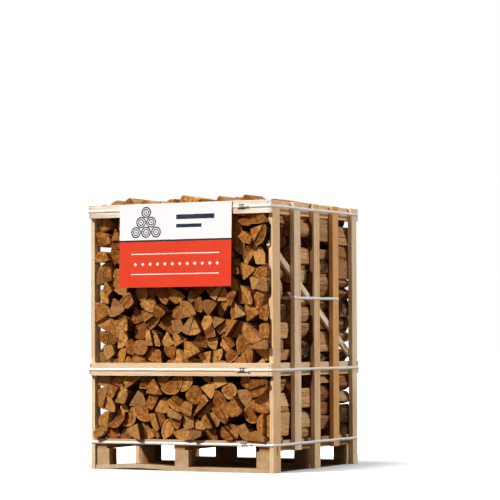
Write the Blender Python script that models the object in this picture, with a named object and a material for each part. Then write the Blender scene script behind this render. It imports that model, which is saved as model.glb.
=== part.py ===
"""Crate of split birch firewood on a block pallet, with slatted sides, front and rear rails and plastic straps.

Metres, +Z up, front towards -Y, right side towards +X. The origin is on the floor, under the middle of the crate.
"""

import math
import random

import bmesh
import bpy
import numpy as np
from mathutils import Matrix, Vector

# Outer size of the frame: slat face to slat face, corner slat edge to corner slat edge, floor to top
CRATE_WIDTH = 1.150
CRATE_DEPTH = 1.055
CRATE_HEIGHT = 1.470
GAP = 0.0005

# Pallet
BOTTOM_BOARD_THICK = 0.022
BLOCK_HEIGHT = 0.092
STRINGER_THICK = 0.032
DECK_THICK = 0.024
DECK_TOP = BOTTOM_BOARD_THICK + BLOCK_HEIGHT + STRINGER_THICK + DECK_THICK
BOTTOM_BOARD_WIDTH = 0.096
END_BLOCK_WIDTH = 0.086
MIDDLE_BLOCK_WIDTH = 0.100
BLOCK_LENGTH = 0.080
BLOCK_INSET = 0.012
STRINGER_WIDTH = 0.070
STRINGER_INSET = 0.014
DECK_BOARDS = 7
DECK_BOARD_WIDTH = 0.096

# Slatted sides: five slats from front to back, where two stop above the fork openings
SLAT_THICK = 0.025
SLAT_WIDTHS = (0.084, 0.078, 0.072, 0.074, 0.064)
SLAT_CENTRES = (-0.4855, -0.2330, 0.0060, 0.2480, 0.4955)
SHORT_SLATS = (1, 3)
SHORT_SLAT_FOOT = 0.112
RAIL_HEIGHT = 0.071
RAIL_THICK = 0.022
MIDDLE_RAIL_FOOT = 0.520
SIDE_RAIL_INSET = 0.004
BRACE_THICK = 0.018
BRACE_WIDTH = 0.036
BRACE_FRONT = (-0.520, 1.248)
BRACE_REAR = (0.500, 0.621)

# Straps, their buckles and the sign
STRAP_WIDTH = 0.016
STRAP_THICK = 0.001
STRAP_HEIGHTS = {"bottom": 0.149, "middle": 0.5535, "top": 1.437}
TIE_STRAP_HEIGHT = 0.945
TIE_STRAP_CORNER = 0.5255
BUCKLE_SIZE = (0.044, 0.003, 0.026)
BUCKLE_WIRE = 0.0045
BUCKLE_X = 0.400
SIGN_SIZE = (0.706, 0.004, 0.462)
SIGN_X = -0.012
SIGN_LEAN = math.radians(1.6)
SIGN_STAND_OFF = 0.003

# Firewood: four rows of logs, one behind the other
ROWS = 4
LOG_LENGTH = 0.250
ROW_END_INSET = 0.012
STACK_HALF_WIDTH = 0.548
STACK_HEIGHT = CRATE_HEIGHT - DECK_TOP
STACK_CROWN = 0.045
SIDE_CLEAR = 0.0015
ROW_SEEDS = (46, 108, 122, 75)
END_RECESS = 0.022
END_REACH = 0.034
SIGN_REACH = 0.012
RAIL_REACH = -0.003
CORE_RECESS = 0.056
CORE_SIDE_INSET = 0.026
CORE_FOOT_INSET = 0.014
LOG_CLEARANCE = 0.0025
LOG_SHRINK = 0.970
LOG_SPACING = 0.070
GRID_CELL = 0.0025
SCATTER_TRIES = 6000
GROWTH_PASSES = 70
FINE_ARC = math.radians(15)
EDGE_ARC = math.radians(52)
COARSE_ARC = math.radians(68)

INNER_HALF_WIDTH = CRATE_WIDTH / 2 - SLAT_THICK
HALF_DEPTH = CRATE_DEPTH / 2


def material(name, colour, roughness, metallic=0.0):
    """Returns a Principled material."""
    made = bpy.data.materials.get(name)
    if made:
        return made
    made = bpy.data.materials.new(name)
    made.use_nodes = True
    shader = made.node_tree.nodes["Principled BSDF"]
    shader.inputs["Base Color"].default_value = (*colour, 1.0)
    shader.inputs["Roughness"].default_value = roughness
    shader.inputs["Metallic"].default_value = metallic
    made.diffuse_color = (*colour, 1.0)
    return made


def add_object(name, mesh, finish):
    """Links a mesh to the scene as a named object with one material."""
    mesh.materials.append(finish)
    made = bpy.data.objects.new(name, mesh)
    bpy.context.scene.collection.objects.link(made)
    return made


def finish_bmesh(bm, name):
    """Turns a bmesh into a mesh whose faces point outwards."""
    bmesh.ops.recalc_face_normals(bm, faces=bm.faces)
    mesh = bpy.data.meshes.new(name)
    bm.to_mesh(mesh)
    bm.free()
    return mesh


def board(name, low, high, finish):
    """A sawn board between two opposite corners, placed by its centre."""
    low, high = Vector(low), Vector(high)
    bm = bmesh.new()
    bmesh.ops.create_cube(bm, size=1.0)
    bmesh.ops.scale(bm, verts=bm.verts, vec=high - low)
    made = add_object(name, finish_bmesh(bm, name), finish)
    made.location = (low + high) / 2
    return made


def prism(bm, outline, y_front, y_back):
    """Adds a closed prism along Y to a bmesh, from an outline in X and Z."""
    front = [bm.verts.new((x, y_front, z)) for x, z in outline]
    back = [bm.verts.new((x, y_back, z)) for x, z in outline]
    bm.faces.new(front)
    bm.faces.new(list(reversed(back)))
    for i in range(len(outline)):
        j = (i + 1) % len(outline)
        bm.faces.new((front[j], front[i], back[i], back[j]))


# Pallet


def build_pallet(pine):
    """Bottom boards, blocks, stringers and deck of the pallet."""
    half = INNER_HALF_WIDTH - GAP
    row_names = ("front", "middle", "rear")
    column_names = ("left", "centre", "right")
    first = -HALF_DEPTH + BLOCK_INSET
    row_fronts = (first, -BLOCK_LENGTH / 2, -first - BLOCK_LENGTH)

    for row, y in zip(row_names, row_fronts):
        middle = y + BLOCK_LENGTH / 2
        board(
            f"bottom_board_{row}",
            (-half, middle - BOTTOM_BOARD_WIDTH / 2, 0.0),
            (half, middle + BOTTOM_BOARD_WIDTH / 2, BOTTOM_BOARD_THICK - GAP),
            pine,
        )
        width = MIDDLE_BLOCK_WIDTH if row == "middle" else END_BLOCK_WIDTH
        lefts = (-half, -width / 2, half - width)
        for column, x in zip(column_names, lefts):
            board(
                f"block_{row}_{column}",
                (x, y, BOTTOM_BOARD_THICK),
                (x + width, y + BLOCK_LENGTH, BOTTOM_BOARD_THICK + BLOCK_HEIGHT - GAP),
                pine,
            )

    stringer_foot = BOTTOM_BOARD_THICK + BLOCK_HEIGHT
    centre_left = -END_BLOCK_WIDTH / 2 - 0.006
    for column, x in zip(column_names, (-half, centre_left, half - STRINGER_WIDTH)):
        board(
            f"stringer_{column}",
            (x, -HALF_DEPTH + STRINGER_INSET, stringer_foot),
            (x + STRINGER_WIDTH, HALF_DEPTH - STRINGER_INSET, stringer_foot + STRINGER_THICK - GAP),
            pine,
        )

    spacing = (CRATE_DEPTH - DECK_BOARD_WIDTH) / (DECK_BOARDS - 1)
    for i in range(DECK_BOARDS):
        y = -HALF_DEPTH + i * spacing
        board(
            f"deck_board_{i + 1}",
            (-half, y, DECK_TOP - DECK_THICK),
            (half, y + DECK_BOARD_WIDTH, DECK_TOP),
            pine,
        )


# Slatted sides and rails


def build_brace(name, side, pine):
    """The slanting brace nailed inside the slats, its ends cut upright."""
    inner, outer = sorted((side * (INNER_HALF_WIDTH - GAP), side * (INNER_HALF_WIDTH - BRACE_THICK)))
    (front_y, front_z), (rear_y, rear_z) = BRACE_FRONT, BRACE_REAR
    slope = math.atan2(rear_z - front_z, rear_y - front_y)
    half_height = BRACE_WIDTH / 2 / math.cos(slope)
    corners = [
        (front_y, front_z - half_height),
        (rear_y, rear_z - half_height),
        (rear_y, rear_z + half_height),
        (front_y, front_z + half_height),
    ]
    bm = bmesh.new()
    loops = [[bm.verts.new((x, side * y, z)) for y, z in corners] for x in (inner, outer)]
    bm.faces.new(loops[0])
    bm.faces.new(loops[1])
    for i in range(4):
        j = (i + 1) % 4
        bm.faces.new((loops[0][i], loops[0][j], loops[1][j], loops[1][i]))
    add_object(name, finish_bmesh(bm, name), pine)


def build_side(side_name, pine):
    """One slatted side. The left side is the same panel as the right one, turned half round."""
    side = 1 if side_name == "right" else -1
    inner, outer = side * INNER_HALF_WIDTH, side * CRATE_WIDTH / 2
    for i, (width, centre) in enumerate(zip(SLAT_WIDTHS, SLAT_CENTRES)):
        foot = SHORT_SLAT_FOOT if i in SHORT_SLATS else 0.0
        place = i + 1 if side > 0 else len(SLAT_WIDTHS) - i
        y = side * centre
        board(
            f"slat_{side_name}_{place}",
            (min(inner, outer), y - width / 2, foot),
            (max(inner, outer), y + width / 2, CRATE_HEIGHT),
            pine,
        )
    rail_outer = side * (INNER_HALF_WIDTH - GAP)
    rail_inner = side * (INNER_HALF_WIDTH - RAIL_THICK)
    length = HALF_DEPTH - SIDE_RAIL_INSET
    for level, foot in (("middle", MIDDLE_RAIL_FOOT), ("top", CRATE_HEIGHT - RAIL_HEIGHT)):
        board(
            f"side_rail_{side_name}_{level}",
            (min(rail_inner, rail_outer), -length, foot),
            (max(rail_inner, rail_outer), length, foot + RAIL_HEIGHT),
            pine,
        )
    build_brace(f"brace_{side_name}", side, pine)


def build_end_rails(pine):
    """The rails nailed across the front and the rear edges of the corner slats."""
    for end_name, end in (("front", -1), ("rear", 1)):
        near, far = end * (HALF_DEPTH + GAP), end * (HALF_DEPTH + RAIL_THICK)
        for level, foot in (("middle", MIDDLE_RAIL_FOOT), ("top", CRATE_HEIGHT - RAIL_HEIGHT)):
            board(
                f"{end_name}_rail_{level}",
                (-CRATE_WIDTH / 2, min(near, far), foot),
                (CRATE_WIDTH / 2, max(near, far), foot + RAIL_HEIGHT),
                pine,
            )


# Straps, buckles and sign


def band(name, corners, height, plastic):
    """A closed flat band round a plan outline, given counter-clockwise, that stands STRAP_THICK outside it."""
    count = len(corners)
    points = [Vector(corner) for corner in corners]
    outer = []
    for i, point in enumerate(points):
        before = (point - points[i - 1]).normalized()
        after = (points[(i + 1) % count] - point).normalized()
        normal_before = Vector((before.y, -before.x))
        normal_after = Vector((after.y, -after.x))
        bisector = (normal_before + normal_after).normalized()
        outer.append(point + bisector * (STRAP_THICK / bisector.dot(normal_before)))
    low, high = height - STRAP_WIDTH / 2, height + STRAP_WIDTH / 2
    bm = bmesh.new()
    rings = [
        [bm.verts.new((p.x, p.y, z)) for p in line]
        for line, z in ((points, low), (outer, low), (outer, high), (points, high))
    ]
    for i in range(count):
        j = (i + 1) % count
        for ring, following in zip(rings, rings[1:] + rings[:1]):
            bm.faces.new((ring[i], ring[j], following[j], following[i]))
    add_object(name, finish_bmesh(bm, name), plastic)


def rectangle(half_x, half_y):
    """Corners of a centred rectangle, counter-clockwise from above."""
    return [(-half_x, -half_y), (half_x, -half_y), (half_x, half_y), (-half_x, half_y)]


def tie_strap_route():
    """Plan outline of the tie strap: round the three inner slats of each side and through the gaps between rows."""
    row_gap = (CRATE_DEPTH - 2 * ROW_END_INSET - LOG_LENGTH) / (ROWS - 1)
    outside = CRATE_WIDTH / 2 + GAP
    inside = INNER_HALF_WIDTH - GAP
    load = TIE_STRAP_CORNER
    near_edge = abs(SLAT_CENTRES[1]) + SLAT_WIDTHS[1] / 2 + GAP
    far_edge = SLAT_CENTRES[3] + SLAT_WIDTHS[3] / 2 + GAP
    half = [
        (load, -row_gap),
        (inside, -near_edge),
        (outside, -near_edge),
        (outside, far_edge),
        (inside, far_edge),
        (load, row_gap),
    ]
    return half + [(-x, -y) for x, y in half]


def build_buckle(name, y_face, height, steel):
    """A flat wire buckle on a strap, open inside its frame."""
    length, thick, width = BUCKLE_SIZE
    outer = rectangle(length / 2, width / 2)
    inner = rectangle(length / 2 - BUCKLE_WIRE, width / 2 - BUCKLE_WIRE)
    bm = bmesh.new()
    rings = [
        [bm.verts.new((x, y, z)) for x, z in line]
        for line, y in ((outer, 0.0), (outer, thick), (inner, thick), (inner, 0.0))
    ]
    for i in range(4):
        j = (i + 1) % 4
        for ring, following in zip(rings, rings[1:] + rings[:1]):
            bm.faces.new((ring[i], ring[j], following[j], following[i]))
    made = add_object(name, finish_bmesh(bm, name), steel)
    made.location = (BUCKLE_X, y_face - thick, height)


def build_straps(plastic, steel):
    """Three straps round the crate with their buckles, and the tie strap through the load."""
    side = CRATE_WIDTH / 2 + GAP
    for level, height in STRAP_HEIGHTS.items():
        end = HALF_DEPTH + GAP if level == "bottom" else HALF_DEPTH + RAIL_THICK + GAP
        band(f"strap_{level}", rectangle(side, end), height, plastic)
        build_buckle(f"buckle_{level}", -end - STRAP_THICK - GAP, height, steel)
    band("tie_strap", tie_strap_route(), TIE_STRAP_HEIGHT, plastic)


def build_sign(panel):
    """The printed panel that hangs from the top front rail and leans out a little at its foot."""
    width, thick, height = SIGN_SIZE
    bm = bmesh.new()
    bmesh.ops.create_cube(bm, size=1.0)
    bmesh.ops.scale(bm, verts=bm.verts, vec=SIGN_SIZE)
    bmesh.ops.translate(bm, verts=bm.verts, vec=(0.0, -thick / 2, -height / 2))
    made = add_object("sign_panel", finish_bmesh(bm, "sign_panel"), panel)
    made.location = (SIGN_X, -(HALF_DEPTH + RAIL_THICK + SIGN_STAND_OFF), CRATE_HEIGHT - 0.001)
    made.rotation_euler = (-SIGN_LEAN, 0.0, 0.0)


# Firewood


def split_log(rng):
    """Draws one log before it has grown to its place: a sweep of bark round the pith, the heart perhaps split off."""
    kind = rng.choices(("wedge", "half", "slab", "billet", "round"), weights=(34, 18, 20, 20, 8))[0]
    if kind == "wedge":
        size = {"radius": 0.050, "limit": rng.uniform(0.090, 0.140), "split": 0.0}
        sweep, widest = rng.uniform(48, 88), 100
    elif kind == "half":
        size = {"radius": 0.034, "limit": rng.uniform(0.056, 0.082), "split": 0.0}
        sweep, widest = rng.uniform(155, 172), 180
    elif kind == "slab":
        size = {"radius": 0.070, "limit": rng.uniform(0.095, 0.150), "split": 0.070 * rng.uniform(0.38, 0.55)}
        sweep, widest = rng.uniform(36, 62), 84
    elif kind == "billet":
        size = {"radius": 0.080, "limit": rng.uniform(0.125, 0.170), "split": 0.080 * rng.uniform(0.54, 0.64)}
        sweep, widest = rng.uniform(30, 42), 56
    else:
        size = {"radius": 0.026, "limit": rng.uniform(0.040, 0.058), "split": 0.0}
        sweep, widest = 360, 360
    return {**size, "sweep": math.radians(sweep), "widest": math.radians(widest), "angle": rng.uniform(0, math.tau)}


def outline_of(log, arc_step):
    """Points of a log's cross-section where it lies, counter-clockwise, with the bark's arc in even steps."""
    radius, sweep, split = log["radius"], log["sweep"], log["split"]
    whole = sweep >= math.tau
    steps = max(1, round(sweep / arc_step))
    angles = [-sweep / 2 + sweep * i / steps for i in range(steps if whole else steps + 1)]
    points = [(radius * math.cos(a), radius * math.sin(a)) for a in angles]
    if split > 0:
        side = split * math.tan(sweep / 2)
        points += [(split, side), (split, -side)]
    elif sweep < math.radians(150):
        points.append((0.0, 0.0))
    heart = 0.0 if whole else 0.55 * radius + 0.35 * split
    cos, sin = math.cos(log["angle"]), math.sin(log["angle"])
    turned = (np.array(points) - (heart, 0.0)) @ np.array([[cos, sin], [-sin, cos]])
    return turned + (log["x"], log["z"])


def brace_heights(side, front, back):
    """Lowest and highest point of one side's brace along a row."""
    (front_y, front_z), (rear_y, rear_z) = BRACE_FRONT, BRACE_REAR
    slope = (rear_z - front_z) / (rear_y - front_y)
    half_height = BRACE_WIDTH / 2 * math.hypot(1.0, slope)
    ends = [min(max(side * y, front_y), rear_y) for y in (front, back)]
    heights = [front_z + slope * (y - front_y) for y in ends]
    return min(heights) - half_height, max(heights) + half_height


def side_bands(row):
    """What stands inside the slats along a row: side, inner face, lowest and highest point of each."""
    front, back = row_span(row)
    rail_face = INNER_HALF_WIDTH - RAIL_THICK
    bands = []
    for side in (-1, 1):
        bands.append((side, rail_face, MIDDLE_RAIL_FOOT, MIDDLE_RAIL_FOOT + RAIL_HEIGHT))
        bands.append((side, rail_face, CRATE_HEIGHT - RAIL_HEIGHT, CRATE_HEIGHT + STACK_CROWN))
        bands.append((side, INNER_HALF_WIDTH - BRACE_THICK, *brace_heights(side, front, back)))
        if row in (0, ROWS - 1):
            half_strap = STRAP_WIDTH / 2
            bands.append((side, TIE_STRAP_CORNER, TIE_STRAP_HEIGHT - half_strap, TIE_STRAP_HEIGHT + half_strap))
    return bands


class Stack:
    """The room for one row of logs, as a grid of cells that hold the number of the log lying there."""

    def __init__(self, row):
        columns = int(2 * STACK_HALF_WIDTH / GRID_CELL)
        rows = int((STACK_HEIGHT + STACK_CROWN) / GRID_CELL)
        self.x = (np.arange(columns) + 0.5) * GRID_CELL - STACK_HALF_WIDTH
        self.z = (np.arange(rows) + 0.5) * GRID_CELL
        self.top = rows * GRID_CELL
        self.cells = np.zeros((rows, columns), dtype=np.int32)
        crown = STACK_HEIGHT + STACK_CROWN * (1.0 - (self.x / STACK_HALF_WIDTH) ** 4)
        self.cells[self.z[:, None] > crown[None]] = -1
        for side, face, low, high in side_bands(row):
            level = (self.z > low - DECK_TOP - SIDE_CLEAR) & (self.z < high - DECK_TOP + SIDE_CLEAR)
            beyond = side * self.x > face - SIDE_CLEAR
            self.cells[level[:, None] & beyond[None]] = -1

    def cover(self, log):
        """The block of cells round a log and which of them it covers, or None outside the room."""
        points = outline_of(log, FINE_ARC)
        low, high = points.min(axis=0), points.max(axis=0)
        if low[0] < -STACK_HALF_WIDTH or high[0] > STACK_HALF_WIDTH or low[1] < 0 or high[1] > self.top:
            return None
        columns = slice(int((low[0] + STACK_HALF_WIDTH) / GRID_CELL), int((high[0] + STACK_HALF_WIDTH) / GRID_CELL) + 1)
        rows = slice(int(low[1] / GRID_CELL), int(high[1] / GRID_CELL) + 1)
        edge = np.roll(points, -1, axis=0) - points
        normal = np.stack((edge[:, 1], -edge[:, 0]), axis=1)
        normal /= np.linalg.norm(normal, axis=1)[:, None]
        reach = (normal * points).sum(axis=1) + LOG_CLEARANCE / 2
        distance = normal[:, 0, None, None] * self.x[None, None, columns]
        distance = distance + normal[:, 1, None, None] * self.z[None, rows, None]
        return rows, columns, (distance <= reach[:, None, None]).all(axis=0)

    def is_free(self, cover, number):
        """Whether no other log lies in the covered cells."""
        rows, columns, inside = cover
        owners = self.cells[rows, columns][inside]
        return bool(((owners == 0) | (owners == number)).all())

    def put(self, cover, number, previous=None):
        """Moves a log from the cells it covered before to the cells it covers now."""
        if previous:
            rows, columns, inside = previous
            block = self.cells[rows, columns]
            block[inside & (block == number)] = 0
        rows, columns, inside = cover
        self.cells[rows, columns][inside] = number


def grown(log, step, rng):
    """A log a little larger, nudged mostly downwards and turned. Later steps ask for less."""
    new = dict(log)
    if step < 3:
        new["radius"] = min(log["radius"] * (1.05 if step < 2 else 1.025), log["limit"])
        new["split"] = log["split"] * new["radius"] / log["radius"]
    else:
        new["sweep"] = min(log["sweep"] + math.radians(5), log["widest"])
        new["split"] = log["split"] * 0.93
    reach = 0.004 if step else 0.002
    new["x"] += rng.uniform(-reach, reach)
    new["z"] += rng.uniform(-reach, reach * 0.4)
    new["angle"] += rng.uniform(-0.10, 0.10)
    return new


def scattered(rng):
    """Starting points of the logs, none closer to another than the spacing."""
    places = []
    for _ in range(SCATTER_TRIES):
        x = rng.uniform(-STACK_HALF_WIDTH + 0.028, STACK_HALF_WIDTH - 0.028)
        z = rng.uniform(0.026, STACK_HEIGHT + STACK_CROWN - 0.035)
        if all((x - a) ** 2 + (z - b) ** 2 > LOG_SPACING**2 for a, b in places):
            places.append((x, z))
    return places


def stack_logs(row):
    """Logs of one row, grown from scattered starts until each lies against its neighbours."""
    rng = random.Random(ROW_SEEDS[row])
    stack = Stack(row)
    logs, covers = [], []
    for x, z in scattered(rng):
        log = {**split_log(rng), "x": x, "z": z}
        for _ in range(8):
            cover = stack.cover(log)
            if cover and stack.is_free(cover, 0):
                logs.append(log)
                covers.append(cover)
                stack.put(cover, len(logs))
                break
            log["radius"] *= 0.9
            log["split"] *= 0.9
    for _ in range(GROWTH_PASSES):
        for i in range(len(logs)):
            for step in range(4):
                log = grown(logs[i], step, rng)
                cover = stack.cover(log)
                if cover and stack.is_free(cover, i + 1):
                    stack.put(cover, i + 1, covers[i])
                    logs[i], covers[i] = log, cover
                    break
    for log in logs:
        log["z"] += DECK_TOP + GAP
        log["stagger"] = (rng.random(), rng.random())
    return logs


def row_span(row):
    """Front and rear end of a row of logs."""
    pitch = (CRATE_DEPTH - 2 * ROW_END_INSET - LOG_LENGTH) / (ROWS - 1)
    front = -HALF_DEPTH + ROW_END_INSET + row * pitch
    return front, front + LOG_LENGTH


def end_place(low, high, share, has_sign):
    """How far a log's end lies behind the slats' edges, negative where it stands out, from its low and high corner."""
    reach = END_REACH
    sign_foot = CRATE_HEIGHT - SIGN_SIZE[2]
    if has_sign and high[1] > sign_foot and abs(low[0] + high[0] - 2 * SIGN_X) < SIGN_SIZE[0] + high[0] - low[0]:
        reach = SIGN_REACH
    for foot in (MIDDLE_RAIL_FOOT, CRATE_HEIGHT - RAIL_HEIGHT):
        if low[1] < foot + RAIL_HEIGHT - RAIL_REACH and high[1] > foot + RAIL_REACH:
            reach = RAIL_REACH
    return END_RECESS - (END_RECESS + reach) * share**2


def core_outline(logs):
    """Outline of a row behind its log ends. Its upper edge runs through the hearts of the topmost logs."""
    side = STACK_HALF_WIDTH - CORE_SIDE_INSET
    foot = DECK_TOP + CORE_FOOT_INSET
    crown = []
    for log in logs:
        above = [o for o in logs if abs(o["x"] - log["x"]) < 0.030 and o["z"] > log["z"]]
        if not above and abs(log["x"]) < side - 0.010:
            crown.append((log["x"], log["z"]))
    crown.sort(reverse=True)
    return [(-side, foot), (side, foot), (side, crown[0][1]), *crown, (-side, crown[-1][1])]


def build_row(row, birch):
    """One row of logs, fused behind their ends, with every log end standing out at its own depth."""
    front, back = row_span(row)
    logs = stack_logs(row)
    outline = core_outline(logs)
    core_front = front + (CORE_RECESS if row == 0 else 0.0)
    core_back = back - (CORE_RECESS if row == ROWS - 1 else 0.0)
    side = STACK_HALF_WIDTH - CORE_SIDE_INSET
    crown = min(z for x, z in outline[2:])

    bm = bmesh.new()
    for log in logs:
        points = outline_of(log, EDGE_ARC)
        low, high = points.min(axis=0), points.max(axis=0)
        buried = low[0] > -side and high[0] < side and low[1] > outline[0][1] and high[1] < crown
        if buried and 0 < row < ROWS - 1:
            continue
        if buried:
            points = outline_of(log, COARSE_ARC)
        points = (log["x"], log["z"]) + (points - (log["x"], log["z"])) * LOG_SHRINK
        log_front, log_back = front + 4 * GAP, back - 4 * GAP
        if row == 0:
            log_front = -HALF_DEPTH + end_place(low, high, log["stagger"][0], True)
            log_back = (core_front + core_back) / 2 if buried else log_front + LOG_LENGTH - ROW_END_INSET
        elif row == ROWS - 1:
            log_back = HALF_DEPTH - end_place(low, high, log["stagger"][1], False)
            log_front = (core_front + core_back) / 2 if buried else log_back - LOG_LENGTH + ROW_END_INSET
        prism(bm, [tuple(point) for point in points], log_front, log_back)
    ends = add_object(f"log_ends_{row + 1}", finish_bmesh(bm, "log_ends"), birch)
    ends.hide_render = True
    ends.display_type = "WIRE"

    bm = bmesh.new()
    prism(bm, outline, core_front, core_back)
    name = f"log_row_{row + 1}"
    core = add_object(name, finish_bmesh(bm, name), birch)
    union = core.modifiers.new("log ends", "BOOLEAN")
    union.operation = "UNION"
    union.object = ends
    union.solver = "EXACT"


def main():
    """Builds the whole crate in an empty scene."""
    for old in list(bpy.data.objects):
        bpy.data.objects.remove(old)
    pine = material("pine", (0.74, 0.55, 0.34), 0.75)
    birch = material("birch", (0.58, 0.36, 0.17), 0.85)
    plastic = material("white_strap", (0.85, 0.84, 0.82), 0.45)
    steel = material("buckle_steel", (0.22, 0.21, 0.20), 0.4, 0.9)
    panel = material("sign_print", (0.86, 0.22, 0.12), 0.5)
    build_pallet(pine)
    for side_name in ("left", "right"):
        build_side(side_name, pine)
    build_end_rails(pine)
    build_straps(plastic, steel)
    build_sign(panel)
    for row in range(ROWS):
        build_row(row, birch)


main()
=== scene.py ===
"""Crate of split birch firewood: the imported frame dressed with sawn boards, split logs, straps, nails and a sign."""

from __future__ import annotations

import logging
import math
import random
from dataclasses import dataclass, field
from enum import Enum
from typing import Any, Sequence

import bmesh
import bpy
import numpy as np
from mathutils import Matrix, Vector


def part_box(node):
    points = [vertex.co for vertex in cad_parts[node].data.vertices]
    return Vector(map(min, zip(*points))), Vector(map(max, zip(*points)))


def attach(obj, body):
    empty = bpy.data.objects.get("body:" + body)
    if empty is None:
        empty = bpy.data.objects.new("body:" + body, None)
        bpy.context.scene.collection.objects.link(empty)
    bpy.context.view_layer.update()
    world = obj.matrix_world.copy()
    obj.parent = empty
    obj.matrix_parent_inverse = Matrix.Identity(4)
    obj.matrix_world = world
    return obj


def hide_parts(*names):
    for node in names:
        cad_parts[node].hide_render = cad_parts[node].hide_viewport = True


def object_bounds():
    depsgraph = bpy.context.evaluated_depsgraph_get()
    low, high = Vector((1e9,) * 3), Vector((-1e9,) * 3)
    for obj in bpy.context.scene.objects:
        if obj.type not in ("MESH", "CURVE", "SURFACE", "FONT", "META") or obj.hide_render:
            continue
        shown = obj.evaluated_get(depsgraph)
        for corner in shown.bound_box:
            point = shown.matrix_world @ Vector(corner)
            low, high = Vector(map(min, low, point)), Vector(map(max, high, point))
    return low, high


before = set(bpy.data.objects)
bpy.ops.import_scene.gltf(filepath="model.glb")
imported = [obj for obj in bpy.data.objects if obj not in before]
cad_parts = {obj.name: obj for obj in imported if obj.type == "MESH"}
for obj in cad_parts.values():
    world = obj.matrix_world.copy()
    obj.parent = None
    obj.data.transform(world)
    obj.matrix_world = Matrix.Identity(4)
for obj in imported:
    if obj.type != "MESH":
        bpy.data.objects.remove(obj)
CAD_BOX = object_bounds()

LOG = logging.getLogger("firewood_crate")
Colour = tuple[float, float, float, float]
Point2 = tuple[float, float]
ROOT = "root"
QUARTER = math.pi / 2


@dataclass(frozen=True)
class Crate:
    """Sizes in metres that more than one sub-assembly needs."""

    half_width: float = 0.575
    half_depth: float = 0.5275
    deck_top: float = 0.170
    rail_thick: float = 0.022
    rail_height: float = 0.071
    rail_feet: Point2 = (0.520, 1.399)
    brace_front: Point2 = (-0.520, 1.248)
    brace_rear: Point2 = (0.500, 0.621)


CRATE = Crate()


def srgb(red: int, green: int, blue: int) -> Colour:
    """Returns the linear colour of an 8-bit display colour."""

    def linear(value: int) -> float:
        """Returns one channel as linear light."""
        share = value / 255
        return share / 12.92 if share <= 0.04045 else ((share + 0.055) / 1.055) ** 2.4

    return linear(red), linear(green), linear(blue), 1.0


class Slot(Enum):
    """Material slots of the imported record."""

    PALLET = "pine_pallet"
    FRAME = "pine_frame"
    LOGS = "birch_logs"
    STRAP = "strap_plastic"
    WIRE = "wire_steel"
    SIGN = "sign_print"


class Face(Enum):
    """Faces of a split log, in the order of the materials of a row."""

    END = 0
    SPLIT = 1
    BARK = 2


def hand_over(piece: bpy.types.Object, slot: Slot, *nodes: str) -> bpy.types.Object:
    """Makes a finished piece ride on the crate and stand for the solids that it dresses.

    Args:
        piece: The finished object, at the origin.
        slot: The record's slot for its finish; not used.
        nodes: Names of the solids that it replaces, none for an added piece.

    Returns:
        The same object.
    """
    if nodes:
        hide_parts(*nodes)
    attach(piece, ROOT)
    return piece


def link(name: str, mesh: bpy.types.Mesh) -> bpy.types.Object:
    """Links a mesh to the scene as an object at the origin.

    Args:
        name: Name of the object and its mesh.
        mesh: The mesh, with its place in its vertices.

    Returns:
        The new object.
    """
    mesh.name = name
    made = bpy.data.objects.new(name, mesh)
    bpy.context.scene.collection.objects.link(made)
    return made


def within_solids(places: np.ndarray) -> np.ndarray:
    """Returns points moved, where needed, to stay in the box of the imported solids."""
    return np.clip(places, *(np.array(corner, dtype=np.float32) for corner in CAD_BOX))


def new_mesh(name: str, verts: Any, faces: Sequence[tuple[int, ...]], layers: dict[str, Any]) -> bpy.types.Mesh:
    """Makes a mesh with vectors kept on its points.

    Args:
        name: Name of the mesh.
        verts: Place of each point.
        faces: Points of each face.
        layers: Vectors of the points, by the attribute's name.

    Returns:
        The mesh.
    """
    mesh = bpy.data.meshes.new(name)
    mesh.from_pydata(verts, [], faces)
    for title, values in layers.items():
        layer = mesh.attributes.new(title, "FLOAT_VECTOR", "POINT")
        layer.data.foreach_set("vector", np.array(values, dtype=np.float32).ravel())
    return mesh


def face_outwards(mesh: bpy.types.Mesh) -> None:
    """Turns the faces of closed shapes outwards.

    Args:
        mesh: The mesh, which is changed.
    """
    bm = bmesh.new()
    bm.from_mesh(mesh)
    bmesh.ops.recalc_face_normals(bm, faces=bm.faces)
    bm.to_mesh(mesh)
    bm.free()


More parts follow.
